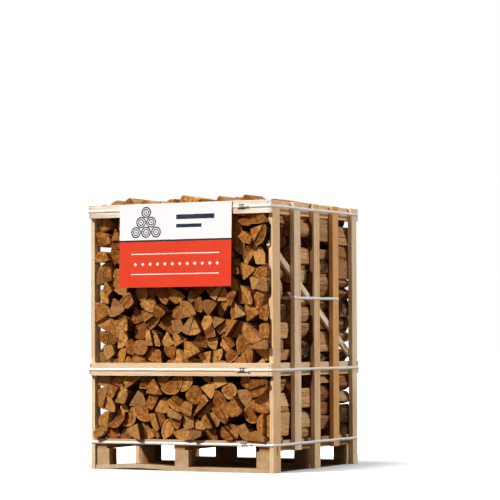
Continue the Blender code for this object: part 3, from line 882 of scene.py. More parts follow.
def board_tree() -> ShapeTree:
    """Builds the tree of a sawn board: a fine box with slight bow, uneven faces and a waney arris.

    Returns:
        The tree. Its length is along the board's own X, its width along Y and its thickness along Z.
    """
    inputs = {
        "Size": ("Vector", None),
        "Centre": ("Vector", None),
        "Turn": ("Vector", None),
        "Cuts": ("Int", 40),
        "Seed": ("Float", 0.0),
        "Bow": ("Vector", None),
        "Hump": ("Float", 0.0),
        "Uneven": ("Float", 0.0006),
        "Wane": ("Float", 0.0),
        "Tint": ("Float", 0.5),
        "Finish": ("Material", None),
    }
    g = Group("sawn_board", "GeometryNodeTree", inputs, {"Geometry": "Geometry"})
    given = g.given
    counts = {"Size": given["Size"], "Vertices X": given["Cuts"], "Vertices Y": 8, "Vertices Z": 5}
    box = g.node("GeometryNodeMeshCube", counts).outputs["Mesh"]
    place = g.node("GeometryNodeInputPosition").outputs[0]
    x, y, z = g.split(place)
    length, width, thick = g.split(given["Size"])
    seed = given["Seed"]

    steps = [g.math("MULTIPLY", seed, step) for step in (7.31, 0.037, 0.41)]
    beside = g.math("PINGPONG", steps[1], 0.05)
    below = g.math("MULTIPLY_ADD", g.math("PINGPONG", steps[2], 0.5), 0.12, 0.03)
    grain = g.vector("ADD", place, g.join(steps[0], beside, below))
    drift = {"W": g.math("MULTIPLY_ADD", x, 6.0, seed), "Scale": 1.0, "Detail": 2.0}
    along = g.node("ShaderNodeTexNoise", drift, noise_dimensions="1D").outputs[0]
    bites = g.math("SINE", g.math("MULTIPLY_ADD", along, 2.0, g.math("MULTIPLY", x, math.tau / 0.26)))
    patch = g.math("MULTIPLY", g.spread(bites, -0.25, 0.25), g.spread(x, -0.30, -0.16))
    has_wane = g.math("GREATER_THAN", given["Wane"], 0.0)
    near_edge = g.spread(g.math("DIVIDE", y, width), 0.25, 0.5)
    near_face = g.spread(g.math("DIVIDE", z, thick), -0.5, 0.3, 1.0, 0.0)
    bark = g.math("MULTIPLY", g.math("MULTIPLY", patch, has_wane), g.math("MULTIPLY", near_edge, near_face))
    marked = g.store(g.store(box, "place", grain), "tint", g.join(given["Tint"], bark, 0.0))

    share = g.math("DIVIDE", g.math("MULTIPLY", x, 2.0), length)
    arch = g.math("SUBTRACT", 1.0, g.math("MULTIPLY", share, share))
    wave = g.math("MAXIMUM", g.math("SINE", g.math("MULTIPLY", share, -math.pi)), 0.0)
    hump = g.math("MULTIPLY", g.math("MULTIPLY", wave, wave), given["Hump"])
    bow = g.vector("ADD", g.scale(given["Bow"], arch), g.join(0.0, 0.0, hump))
    noise = {"Vector": place, "W": seed, "Scale": 9.0, "Detail": 3.0}
    rough = g.node("ShaderNodeTexNoise", noise, noise_dimensions="4D").outputs[1]
    rough = g.scale(g.vector("SUBTRACT", rough, (0.5, 0.5, 0.5)), g.math("MULTIPLY", given["Uneven"], 2.0))
    wane = g.scale(g.scale((0.0, -1.0, 0.45), bark), given["Wane"])
    offset = g.vector("ADD", bow, g.vector("ADD", rough, wane))
    bent = g.node("GeometryNodeSetPosition", {"Geometry": marked, "Offset": offset}).outputs[0]
    placing = {"Geometry": bent, "Translation": given["Centre"], "Rotation": given["Turn"]}
    g.end_shape(g.node("GeometryNodeTransform", placing).outputs[0])
    return ShapeTree(g)


def sweep_tree() -> ShapeTree:
    """Builds the tree that sweeps a flat band or a round wire along a path.

    Returns:
        The tree. It starts from a curve whose tilt turns the band.
    """
    inputs = {
        "Geometry": ("Geometry", None),
        "Width": ("Float", 0.016),
        "Thickness": ("Float", 0.001),
        "Round": ("Bool", False),
        "Finish": ("Material", None),
    }
    g = Group("swept_strip", "GeometryNodeTree", inputs, {"Geometry": "Geometry"})
    given = g.given
    upright = g.node("GeometryNodeSetCurveNormal", {"Curve": given["Geometry"]}, mode="Z_UP").outputs[0]
    travelled = g.node("GeometryNodeCaptureAttribute", {0: upright})
    travelled.capture_items.new("FLOAT", "travelled")
    parameter = g.node("GeometryNodeSplineParameter").outputs["Length"]
    g.tree.links.new(parameter, travelled.inputs[1])

    sides = {"Width": given["Thickness"], "Height": given["Width"]}
    flat = g.node("GeometryNodeCurvePrimitiveQuadrilateral", sides).outputs[0]
    radius = g.math("DIVIDE", given["Thickness"], 2.0)
    wire = g.node("GeometryNodeCurvePrimitiveCircle", {"Resolution": 10, "Radius": radius}).outputs[0]
    profile = g.node("GeometryNodeSwitch", {0: given["Round"], 1: flat, 2: wire}, input_type="GEOMETRY").outputs[0]
    across = g.node("GeometryNodeCaptureAttribute", {0: profile})
    across.capture_items.new("VECTOR", "across")
    g.tree.links.new(g.node("GeometryNodeInputPosition").outputs[0], across.inputs[1])

    sweeping = {"Curve": travelled.outputs[0], "Profile Curve": across.outputs[0], "Fill Caps": True}
    swept = g.node("GeometryNodeCurveToMesh", sweeping).outputs[0]
    weave = g.join(travelled.outputs[1], g.split(across.outputs[1])[1], 0.0)
    g.end_shape(g.store(swept, "weave", weave))
    return ShapeTree(g)


def nail_tree() -> ShapeTree:
    """Builds the tree that sets a nail head on each point, along its aim.

    Returns:
        The tree. It starts from loose points with an aim attribute.
    """
    inputs = {
        "Geometry": ("Geometry", None),
        "Head Radius": ("Float", 0.0028),
        "Head Height": ("Float", 0.0012),
        "Finish": ("Material", None),
    }
    g = Group("nail_heads", "GeometryNodeTree", inputs, {"Geometry": "Geometry"})
    given = g.given
    points = g.node("GeometryNodeMeshToPoints", {"Mesh": given["Geometry"]}).outputs[0]
    sizes = {"Vertices": 10, "Radius": given["Head Radius"], "Depth": given["Head Height"]}
    head = g.node("GeometryNodeMeshCylinder", sizes).outputs[0]
    aim = g.node("GeometryNodeInputNamedAttribute", {"Name": "aim"}, data_type="FLOAT_VECTOR").outputs[0]
    turn = g.node("FunctionNodeAlignRotationToVector", {"Vector": aim}, axis="Z").outputs[0]
    heads = g.node("GeometryNodeInstanceOnPoints", {"Points": points, "Instance": head, "Rotation": turn}).outputs[0]
    g.end_shape(heads)
    return ShapeTree(g)


# Timber


class Grain(Enum):
    """How a board lies: the axes of its length, width and thickness, and the turn that brings the tree's own there."""

    ACROSS = ((0, 1, 2), (0.0, 0.0, 0.0))
    DEPTH = ((1, 0, 2), (0.0, 0.0, QUARTER))
    UPRIGHT = ((2, 1, 0), (0.0, -QUARTER, 0.0))
    ON_EDGE = ((0, 2, 1), (QUARTER, 0.0, 0.0))


@dataclass(frozen=True)
class Board:
    """What sets one board apart.

    Attributes:
        slot: The record's slot.
        tint: 0 for a pale board, 1 for a warm one.
        bow: How far its middle stands off, in its own axes.
        wane: Depth of the bark edge left on one arris.
        hump: How far its first half has sprung up.
    """

    slot: Slot
    tint: float
    bow: tuple[float, float, float] = (0.0, 0.0, 0.0)
    wane: float = 0.0
    hump: float = 0.0


@dataclass
class Joiner:
    """Makes boards that replace the crate's timber solids."""

    finishes: Finishes
    tree: ShapeTree = field(default_factory=board_tree)
    bevel: float = 0.0014
    cut: float = 0.024
    fewest_cuts: int = 8
    sharp: float = math.radians(50)
    made: int = 0

    def board(self, node: str, grain: Grain, look: Board, flip: bool = False) -> None:
        """Makes the board that fills the box of a solid.

        Args:
            node: Name of the solid, which the board replaces.
            grain: How it lies.
            look: What sets it apart.
            flip: Turns it half round.
        """
        low, high = (Vector(corner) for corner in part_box(node))
        axes, (turn_x, turn_y, turn_z) = grain.value
        turn = (turn_x, turn_y, turn_z + (math.pi if flip else 0.0))
        self.place(node, [(high - low)[axis] for axis in axes], turn, look)

    def place(self, node: str, size: Sequence[float], turn: Sequence[float], look: Board) -> None:
        """Makes a board of a given size in the middle of a solid's box.

        Args:
            node: Name of the solid, which the board replaces.
            size: Length, width and thickness.
            turn: Its turn as Euler angles.
            look: What sets it apart.
        """
        self.made += 1
        low, high = (Vector(corner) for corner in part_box(node))
        finish = self.finishes.pallet_pine if look.slot is Slot.PALLET else self.finishes.frame_pine
        values = {
            "Size": tuple(size),
            "Centre": tuple((low + high) / 2),
            "Turn": tuple(turn),
            "Cuts": max(self.fewest_cuts, round(size[0] / self.cut)),
            "Seed": float(self.made),
            "Bow": look.bow,
            "Hump": look.hump,
            "Wane": look.wane,
            "Tint": look.tint,
            "Finish": finish,
        }
        piece = self.tree.make(f"{node}_sawn", values)
        places = np.empty(3 * len(piece.data.vertices), dtype=np.float32)
        piece.data.vertices.foreach_get("co", places)
        piece.data.vertices.foreach_set("co", within_solids(places.reshape(-1, 3)).ravel())
        piece.data.shade_smooth()
        bevel = piece.modifiers.new("arris", "BEVEL")
        bevel.width = self.bevel
        bevel.segments = 2
        bevel.limit_method = "ANGLE"
        bevel.angle_limit = self.sharp
        bevel.harden_normals = True
        hand_over(piece, look.slot, node)


@dataclass
class Pallet:
    """The block pallet: bottom boards, blocks, stringers and deck."""

    joiner: Joiner
    deck_boards: int = 7
    front_hump: float = 0.009

    def build(self) -> int:
        """Builds the pallet's pieces and returns how many there are."""
        rng = random.Random(5)
        before = self.joiner.made
        columns = ("left", "centre", "right")
        for row in ("front", "middle", "rear"):
            board = Board(Slot.PALLET, rng.uniform(0.0, 0.4), hump=self.front_hump if row == "front" else 0.0)
            self.joiner.board(f"bottom_board_{row}", Grain.ACROSS, board)
            for column in columns:
                self.joiner.board(f"block_{row}_{column}", Grain.DEPTH, Board(Slot.PALLET, rng.uniform(0.0, 0.5)))
        for column in columns:
            self.joiner.board(f"stringer_{column}", Grain.DEPTH, Board(Slot.PALLET, rng.uniform(0.6, 1.0)))
        for i in range(self.deck_boards):
            self.joiner.board(f"deck_board_{i + 1}", Grain.ACROSS, Board(Slot.PALLET, rng.uniform(0.1, 0.7)))
        return self.joiner.made - before


@dataclass
class SidePanels:
    """The two slatted sides with their rails and braces."""

    joiner: Joiner
    tints: tuple[float, ...] = (0.40, 0.22, 0.40, 0.95, 0.22)
    wanes: tuple[float, ...] = (0.009, 0.0, 0.003, 0.0, 0.0)
    bow: float = 0.002
    twist: float = 0.0005
    brace_width: float = 0.036
    brace_ends: float = 0.030
    brace_tint: float = 0.1
    brace_wane: float = 0.003

    def build(self) -> int:
        """Builds both panels and returns the number of pieces."""
        before = self.joiner.made
        rng = random.Random(8)
        for side in ("left", "right"):
            is_right = side == "right"
            for i, (tint, wane) in enumerate(zip(self.tints, self.wanes)):
                place = i + 1 if is_right else len(self.tints) - i
                bow = (0.0, rng.uniform(-self.bow, self.bow), rng.uniform(-self.twist, self.twist))
                self.joiner.board(f"slat_{side}_{place}", Grain.UPRIGHT, Board(Slot.FRAME, tint, bow, wane), is_right)
            for level in ("middle", "top"):
                board = Board(Slot.FRAME, rng.uniform(0.1, 0.5))
                self.joiner.board(f"side_rail_{side}_{level}", Grain.DEPTH, board)
            self.build_brace(side)
        return self.joiner.made - before

    def build_brace(self, side: str) -> None:
        """Builds the slanting brace of one side.

        Args:
            side: left or right.
        """
        node = f"brace_{side}"
        low, high = (Vector(corner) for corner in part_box(node))
        run = Vector((0.0, *CRATE.brace_rear)) - Vector((0.0, *CRATE.brace_front))
        slope = math.atan2(run.z, run.y) * (1 if side == "right" else -1)
        turn = Matrix.Rotation(slope, 4, "X") @ Matrix.Rotation(QUARTER, 4, "Z") @ Matrix.Rotation(QUARTER, 4, "X")
        size = (run.length - self.brace_ends, self.brace_width, high.x - low.x)
        self.joiner.place(node, size, turn.to_euler(), Board(Slot.FRAME, self.brace_tint, wane=self.brace_wane))


@dataclass
class EndRails:
    """The rails across the front and the rear."""

    joiner: Joiner
    tints: tuple[tuple[str, float], ...] = (("middle", 0.26), ("top", 0.03))

    def build(self) -> int:
        """Builds the four rails and returns their number."""
        before = self.joiner.made
        for end in ("front", "rear"):
            for level, tint in self.tints:
                self.joiner.board(f"{end}_rail_{level}", Grain.ON_EDGE, Board(Slot.FRAME, tint))
        return self.joiner.made - before


# Firewood


@dataclass(frozen=True)
class Cut:
    """How one kind of log is cut.

    Attributes:
        weight: Its share of the load.
        start: Radius that it grows from.
        limit: Least and greatest radius that it may reach.
        sweep: Least and greatest sweep of bark at the start, in degrees.
        widest: Greatest sweep that it may reach.
        split: Where the heart is split off, as shares of the radius, or None.
    """

    weight: int
    start: float
    limit: Point2
    sweep: Point2
    widest: float
    split: Point2 | None = None


WEDGE = Cut(34, 0.050, (0.090, 0.140), (48, 88), 100)
HALF = Cut(18, 0.034, (0.056, 0.082), (155, 172), 180)
SLAB = Cut(20, 0.070, (0.095, 0.150), (36, 62), 84, (0.38, 0.55))
BILLET = Cut(20, 0.080, (0.125, 0.170), (30, 42), 56, (0.54, 0.64))
ROUND = Cut(8, 0.026, (0.040, 0.058), (360, 360), 360)
CUTS = (WEDGE, HALF, SLAB, BILLET, ROUND)


@dataclass
class SplitLog:
    """Cross-section of one log where it lies: a sweep of bark round the pith, the heart perhaps split off."""

    radius: float
    limit: float
    split: float
    sweep: float
    widest: float
    angle: float
    x: float = 0.0
    z: float = 0.0
    stagger: Point2 = (0.0, 0.0)

    @classmethod
    def draw(cls, rng: random.Random) -> SplitLog:
        """Draws a log before it has grown to its place.

        Args:
            rng: Source of the random numbers.

        Returns:
            The log.
        """
        cut = rng.choices(CUTS, weights=[cut.weight for cut in CUTS])[0]
        limit = rng.uniform(*cut.limit)
        split = cut.start * rng.uniform(*cut.split) if cut.split else 0.0
        sweep = cut.widest if cut is ROUND else rng.uniform(*cut.sweep)
        return cls(cut.start, limit, split, math.radians(sweep), math.radians(cut.widest), rng.uniform(0, math.tau))

    @property
    def whole(self) -> bool:
        """Whether the log is unsplit."""
        return self.sweep >= math.tau

    @property
    def heart(self) -> float:
        """Distance from the pith to the point that the log grows from."""
        return 0.0 if self.whole else 0.55 * self.radius + 0.35 * self.split

    def corners(self, arc_step: float) -> tuple[np.ndarray, list[bool]]:
        """Outline round the pith, unturned.

        Args:
            arc_step: Angle between two points of the bark.

        Returns:
            The points, counter-clockwise, and whether bark follows each.
        """
        steps = max(1, round(self.sweep / arc_step))
        count = steps if self.whole else steps + 1
        angles = [-self.sweep / 2 + self.sweep * i / steps for i in range(count)]
        points = [(self.radius * math.cos(a), self.radius * math.sin(a)) for a in angles]
        barked = [True] * steps + [False] * (count - steps)
        if self.split > 0:
            side = self.split * math.tan(self.sweep / 2)
            points += [(self.split, side), (self.split, -side)]
            barked += [False, False]
        elif self.sweep < math.radians(150):
            points.append((0.0, 0.0))
            barked.append(False)
        return np.array(points), barked

    def placed(self, points: np.ndarray) -> np.ndarray:
        """Turns points of the log's own section to where it lies and returns them."""
        cos, sin = math.cos(self.angle), math.sin(self.angle)
        return (points - (self.heart, 0.0)) @ np.array([[cos, sin], [-sin, cos]]) + (self.x, self.z)

    def grown(self, step: int, rng: random.Random) -> SplitLog:
        """A log a little larger, nudged mostly downwards and turned.

        Args:
            step: Number of the try. Later ones ask for less.
            rng: Source of the random numbers.

        Returns:
            The changed copy.
        """
        new = SplitLog(**self.__dict__)
        if step < 3:
            new.radius = min(self.radius * (1.05 if step < 2 else 1.025), self.limit)
            new.split = self.split * new.radius / self.radius
        else:
            new.sweep = min(self.sweep + math.radians(5), self.widest)
            new.split = self.split * 0.93
        reach = 0.004 if step else 0.002
        new.x += rng.uniform(-reach, reach)
        new.z += rng.uniform(-reach, reach * 0.4)
        new.angle += rng.uniform(-0.10, 0.10)
        return new


@dataclass(frozen=True)
class Band:
    """Timber or strap that takes room inside the slats along a row."""

    side: int
    face: float
    low: float
    high: float


@dataclass
class Stack:
    """The room for one row of logs, as a grid of cells that hold the number of the log lying there."""

    bands: Sequence[Band]
    half_width: float = 0.548
    height: float = 1.300
    crown: float = 0.045
    cell: float = 0.0025
    clearance: float = 0.0025
    spacing: float = 0.070
    side_clear: float = 0.0015
    start_margin: float = 0.028
    start_foot: float = 0.026
    start_top: float = 0.035
    shrinks: int = 8
    shrink: float = 0.9
    tries: int = 6000
    passes: int = 70
    arc: float = math.radians(15)

    def __post_init__(self) -> None:
        """Marks the cells above the crown as taken."""
        columns = int(2 * self.half_width / self.cell)
        rows = int((self.height + self.crown) / self.cell)
        self.x = (np.arange(columns) + 0.5) * self.cell - self.half_width
        self.z = (np.arange(rows) + 0.5) * self.cell
        self.top = rows * self.cell
        self.cells = np.zeros((rows, columns), dtype=np.int32)
        crown = self.height + self.crown * (1.0 - (self.x / self.half_width) ** 4)
        self.cells[self.z[:, None] > crown[None]] = -1
        for band in self.bands:
            level = (self.z > band.low - self.side_clear) & (self.z < band.high + self.side_clear)
            beyond = band.side * self.x > band.face - self.side_clear
            self.cells[level[:, None] & beyond[None]] = -1

    def cover(self, log: SplitLog) -> tuple[slice, slice, np.ndarray] | None:
        """The block of cells round a log and which of them it covers.

        Args:
            log: The log.

        Returns:
            Rows, columns and mask, or None outside the room.
        """
        points = log.placed(log.corners(self.arc)[0])
        low, high = points.min(axis=0), points.max(axis=0)
        if low[0] < -self.half_width or high[0] > self.half_width or low[1] < 0 or high[1] > self.top:
            return None
        columns = slice(int((low[0] + self.half_width) / self.cell), int((high[0] + self.half_width) / self.cell) + 1)
        rows = slice(int(low[1] / self.cell), int(high[1] / self.cell) + 1)
        edge = np.roll(points, -1, axis=0) - points
        normal = np.stack((edge[:, 1], -edge[:, 0]), axis=1)
        normal /= np.linalg.norm(normal, axis=1)[:, None]
        reach = (normal * points).sum(axis=1) + self.clearance / 2
        distance = normal[:, 0, None, None] * self.x[None, None, columns]
        distance = distance + normal[:, 1, None, None] * self.z[None, rows, None]
        return rows, columns, (distance <= reach[:, None, None]).all(axis=0)

    def is_free(self, cover: tuple[slice, slice, np.ndarray], number: int) -> bool:
        """Whether no other log lies in the covered cells."""
        rows, columns, inside = cover
        owners = self.cells[rows, columns][inside]
        return bool(((owners == 0) | (owners == number)).all())

    def put(self, cover: tuple, number: int, previous: tuple | None = None) -> None:
        """Moves a log from the cells it covered before to the cells it covers now.

        Args:
            cover: Its new cells.
            number: Its number.
            previous: Its old cells, if it had any.
        """
        if previous:
            rows, columns, inside = previous
            block = self.cells[rows, columns]
            block[inside & (block == number)] = 0
        rows, columns, inside = cover
        self.cells[rows, columns][inside] = number

    def scattered(self, rng: random.Random) -> list[Point2]:
        """Starting points of the logs, none closer to another than the spacing.

        Args:
            rng: Source of the random numbers.

        Returns:
            The points.
        """
        places: list[Point2] = []
        for _ in range(self.tries):
            x = rng.uniform(-self.half_width + self.start_margin, self.half_width - self.start_margin)
            z = rng.uniform(self.start_foot, self.height + self.crown - self.start_top)
            if all((x - a) ** 2 + (z - b) ** 2 > self.spacing**2 for a, b in places):
                places.append((x, z))
        return places

    def fill(self, seed: int) -> list[SplitLog]:
        """Grows the logs of one row until each lies against its neighbours.

        Args:
            seed: The row's seed, the same as in the solids.

        Returns:
            The logs.
        """
        rng = random.Random(seed)
        logs: list[SplitLog] = []
        covers: list[tuple] = []
        for x, z in self.scattered(rng):
            log = SplitLog.draw(rng)
            log.x, log.z = x, z
            for _ in range(self.shrinks):
                cover = self.cover(log)
                if cover and self.is_free(cover, 0):
                    logs.append(log)
                    covers.append(cover)
                    self.put(cover, len(logs))
                    break
                log.radius *= self.shrink
                log.split *= self.shrink
        for _ in range(self.passes):
            for i in range(len(logs)):
                for step in range(4):
                    log = logs[i].grown(step, rng)
                    cover = self.cover(log)
                    if cover and self.is_free(cover, i + 1):
                        self.put(cover, i + 1, covers[i])
                        logs[i], covers[i] = log, cover
                        break
        for log in logs:
            log.stagger = (rng.random(), rng.random())
        return logs

    def owner(self, points: np.ndarray) -> np.ndarray:
        """The number in the cell under each point, -1 outside the room."""
        columns = ((points[:, 0] + self.half_width) / self.cell).astype(int)
        rows = (points[:, 1] / self.cell).astype(int)
        outside = (columns < 0) | (columns >= self.cells.shape[1]) | (rows < 0) | (rows >= self.cells.shape[0])
        found = self.cells[np.clip(rows, 0, self.cells.shape[0] - 1), np.clip(columns, 0, self.cells.shape[1] - 1)]
        return np.where(outside, -1, found)

    def swelling(self, points: np.ndarray, number: int, most: float) -> np.ndarray:
        """How far each point of an outline may move out, to share the free room with its neighbours.

        Args:
            points: The log's outline where it lies, counter-clockwise.
            number: The log's number.
            most: Largest move.

        Returns:
            The distance for each point.
        """
        normal = normals(np.roll(points, -1, axis=0) - np.roll(points, 1, axis=0))
        free = np.full(len(points), 2 * most)
        for step in range(1, int(2 * most / self.cell) + 2):
            reach = step * self.cell
            owners = self.owner(points + normal * reach)
            hit = (owners != 0) & (owners != number)
            free = np.where(hit & (free > reach - self.cell), reach - self.cell, free)
        return np.minimum(free / 2, most)


def normals(tangents: np.ndarray) -> np.ndarray:
    """Outward directions of counter-clockwise tangents."""
    turned = np.stack((tangents[:, 1], -tangents[:, 0]), axis=1)
    return turned / (np.linalg.norm(turned, axis=1)[:, None] + 1e-9)


@dataclass(frozen=True)
class Section:
    """Cross-section of a log: where it lies, the same points round the pith, and which sides bear bark."""

    placed: np.ndarray
    local: np.ndarray
    barked: tuple[bool, ...]

    @property
    def area(self) -> float:
        """Area of the section."""
        x, z = self.placed[:, 0], self.placed[:, 1]
        return 0.5 * abs(float(np.dot(x, np.roll(z, -1)) - np.dot(z, np.roll(x, -1))))

    def cleft(self, direction: float, gap: float) -> list[Section]:
        """Splits the section in two through its middle.

        Args:
            direction: Angle of the line's normal.
            gap: Room left between the halves.

        Returns:
            Both halves.
        """
        middle = self.placed.mean(axis=0)
        halves = []
        for side in (1.0, -1.0):
            normal = side * np.array([math.cos(direction), math.sin(direction)])
            distance = (self.placed - middle) @ normal - gap / 2
            placed, local, barked = [], [], []
            for i in range(len(distance)):
                j = (i + 1) % len(distance)
                if distance[i] >= 0:
                    placed.append(self.placed[i])
                    local.append(self.local[i])
                    barked.append(self.barked[i])
                if (distance[i] >= 0) != (distance[j] >= 0):
                    share = distance[i] / (distance[i] - distance[j])
                    placed.append(self.placed[i] + share * (self.placed[j] - self.placed[i]))
                    local.append(self.local[i] + share * (self.local[j] - self.local[i]))
                    barked.append(bool(self.barked[i] and distance[i] < 0))
            halves.append(Section(np.array(placed), np.array(local), tuple(barked)))
        return halves


@dataclass
class LogMesh:
    """The joined mesh of a row of logs, with what their finishes need to know."""

    rim: float = 0.0010
    verts: list[tuple[float, float, float]] = field(default_factory=list)
    faces: list[tuple[int, ...]] = field(default_factory=list)
    kinds: list[int] = field(default_factory=list)
    section: list[tuple[float, float, float]] = field(default_factory=list)
    tones: list[tuple[float, float, float]] = field(default_factory=list)
    inner: list[tuple[float, float, float]] = field(default_factory=list)

    def add(
        self, section: Section, start: float, stop: float, lift: float, is_open: bool, rng: random.Random
    ) -> None:
        """Adds a log.

        Args:
            section: Its cross-section, with heights from the deck.
            start: Its front end.
            stop: Its rear end.
            lift: Height of the deck.
            is_open: Whether it lies at the edge of the stack; the split faces of the other logs get painted shade.
            rng: Source of the random numbers.
        """
        tilt = (rng.gauss(0.0, 0.055), rng.gauss(0.0, 0.055))
        middle, heart = section.placed.mean(axis=0), section.local.mean(axis=0)
        count, first = len(section.placed), len(self.verts)
        rings = ((start, 0.985, 1.0), (start + self.rim, 1.0, 1.0), (stop - self.rim, 1.0, -1.0), (stop, 0.985, -1.0))
        for y, scale, way in rings:
            ring = (section.placed - middle) * scale
            for (x, z), (a, b), flag in zip(ring, section.local, section.barked):
                lean = way * (tilt[0] * x + tilt[1] * z)
                self.verts.append((middle[0] + x, y + lean, middle[1] + z + lift))
                self.section.append((a, b, y - start))
                # The third value marks logs at the edge of the stack, which the painted shade on split faces leaves out
                self.inner.append((0.0, float(flag), float(is_open)))
        for y in (start, stop):
            self.verts.append((middle[0], y + rng.uniform(-0.001, 0.001), middle[1] + lift))
            self.section.append((heart[0], heart[1], y - start))
            self.inner.append((1.0, 0.0, float(is_open)))
        self.tones += [(rng.random(), rng.random(), rng.random())] * (count * len(rings) + 2)
        self.skin(first, count, len(rings), section.barked)

    def skin(self, first: int, count: int, rings: int, barked: Sequence[bool]) -> None:
        """Adds the faces between a log's rings and over its ends.

        Args:
            first: Number of its first vertex.
            count: Vertices in a ring.
            rings: Number of rings.
            barked: Whether bark follows each vertex.
        """
        last = first + (rings - 1) * count
        near, far = last + count, last + count + 1
        for i in range(count):
            j = (i + 1) % count
            for k in range(rings - 1):
                a, b = first + k * count + i, first + k * count + j
                self.faces.append((a, b, b + count, a + count))
                self.kinds.append(Face.BARK.value if barked[i] else Face.SPLIT.value)
            self.faces += [(near, first + j, first + i), (far, last + i, last + j)]
            self.kinds += [Face.END.value, Face.END.value]

    def mesh(self, name: str, finishes: Sequence[bpy.types.Material]) -> bpy.types.Mesh:
        """Makes the mesh.

        Args:
            name: Its name.
            finishes: Materials of ends, split faces and bark.

        Returns:
            The mesh, with outward faces.
        """
        layers = {"section": self.section, "tone": self.tones, "inner": self.inner}
        mesh = new_mesh(name, within_solids(np.array(self.verts)).tolist(), self.faces, layers)
        for finish in finishes:
            mesh.materials.append(finish)
        mesh.polygons.foreach_set("material_index", self.kinds)
        mesh.shade_smooth()
        mesh.set_sharp_from_angle(angle=math.radians(30))
        face_outwards(mesh)
        return mesh


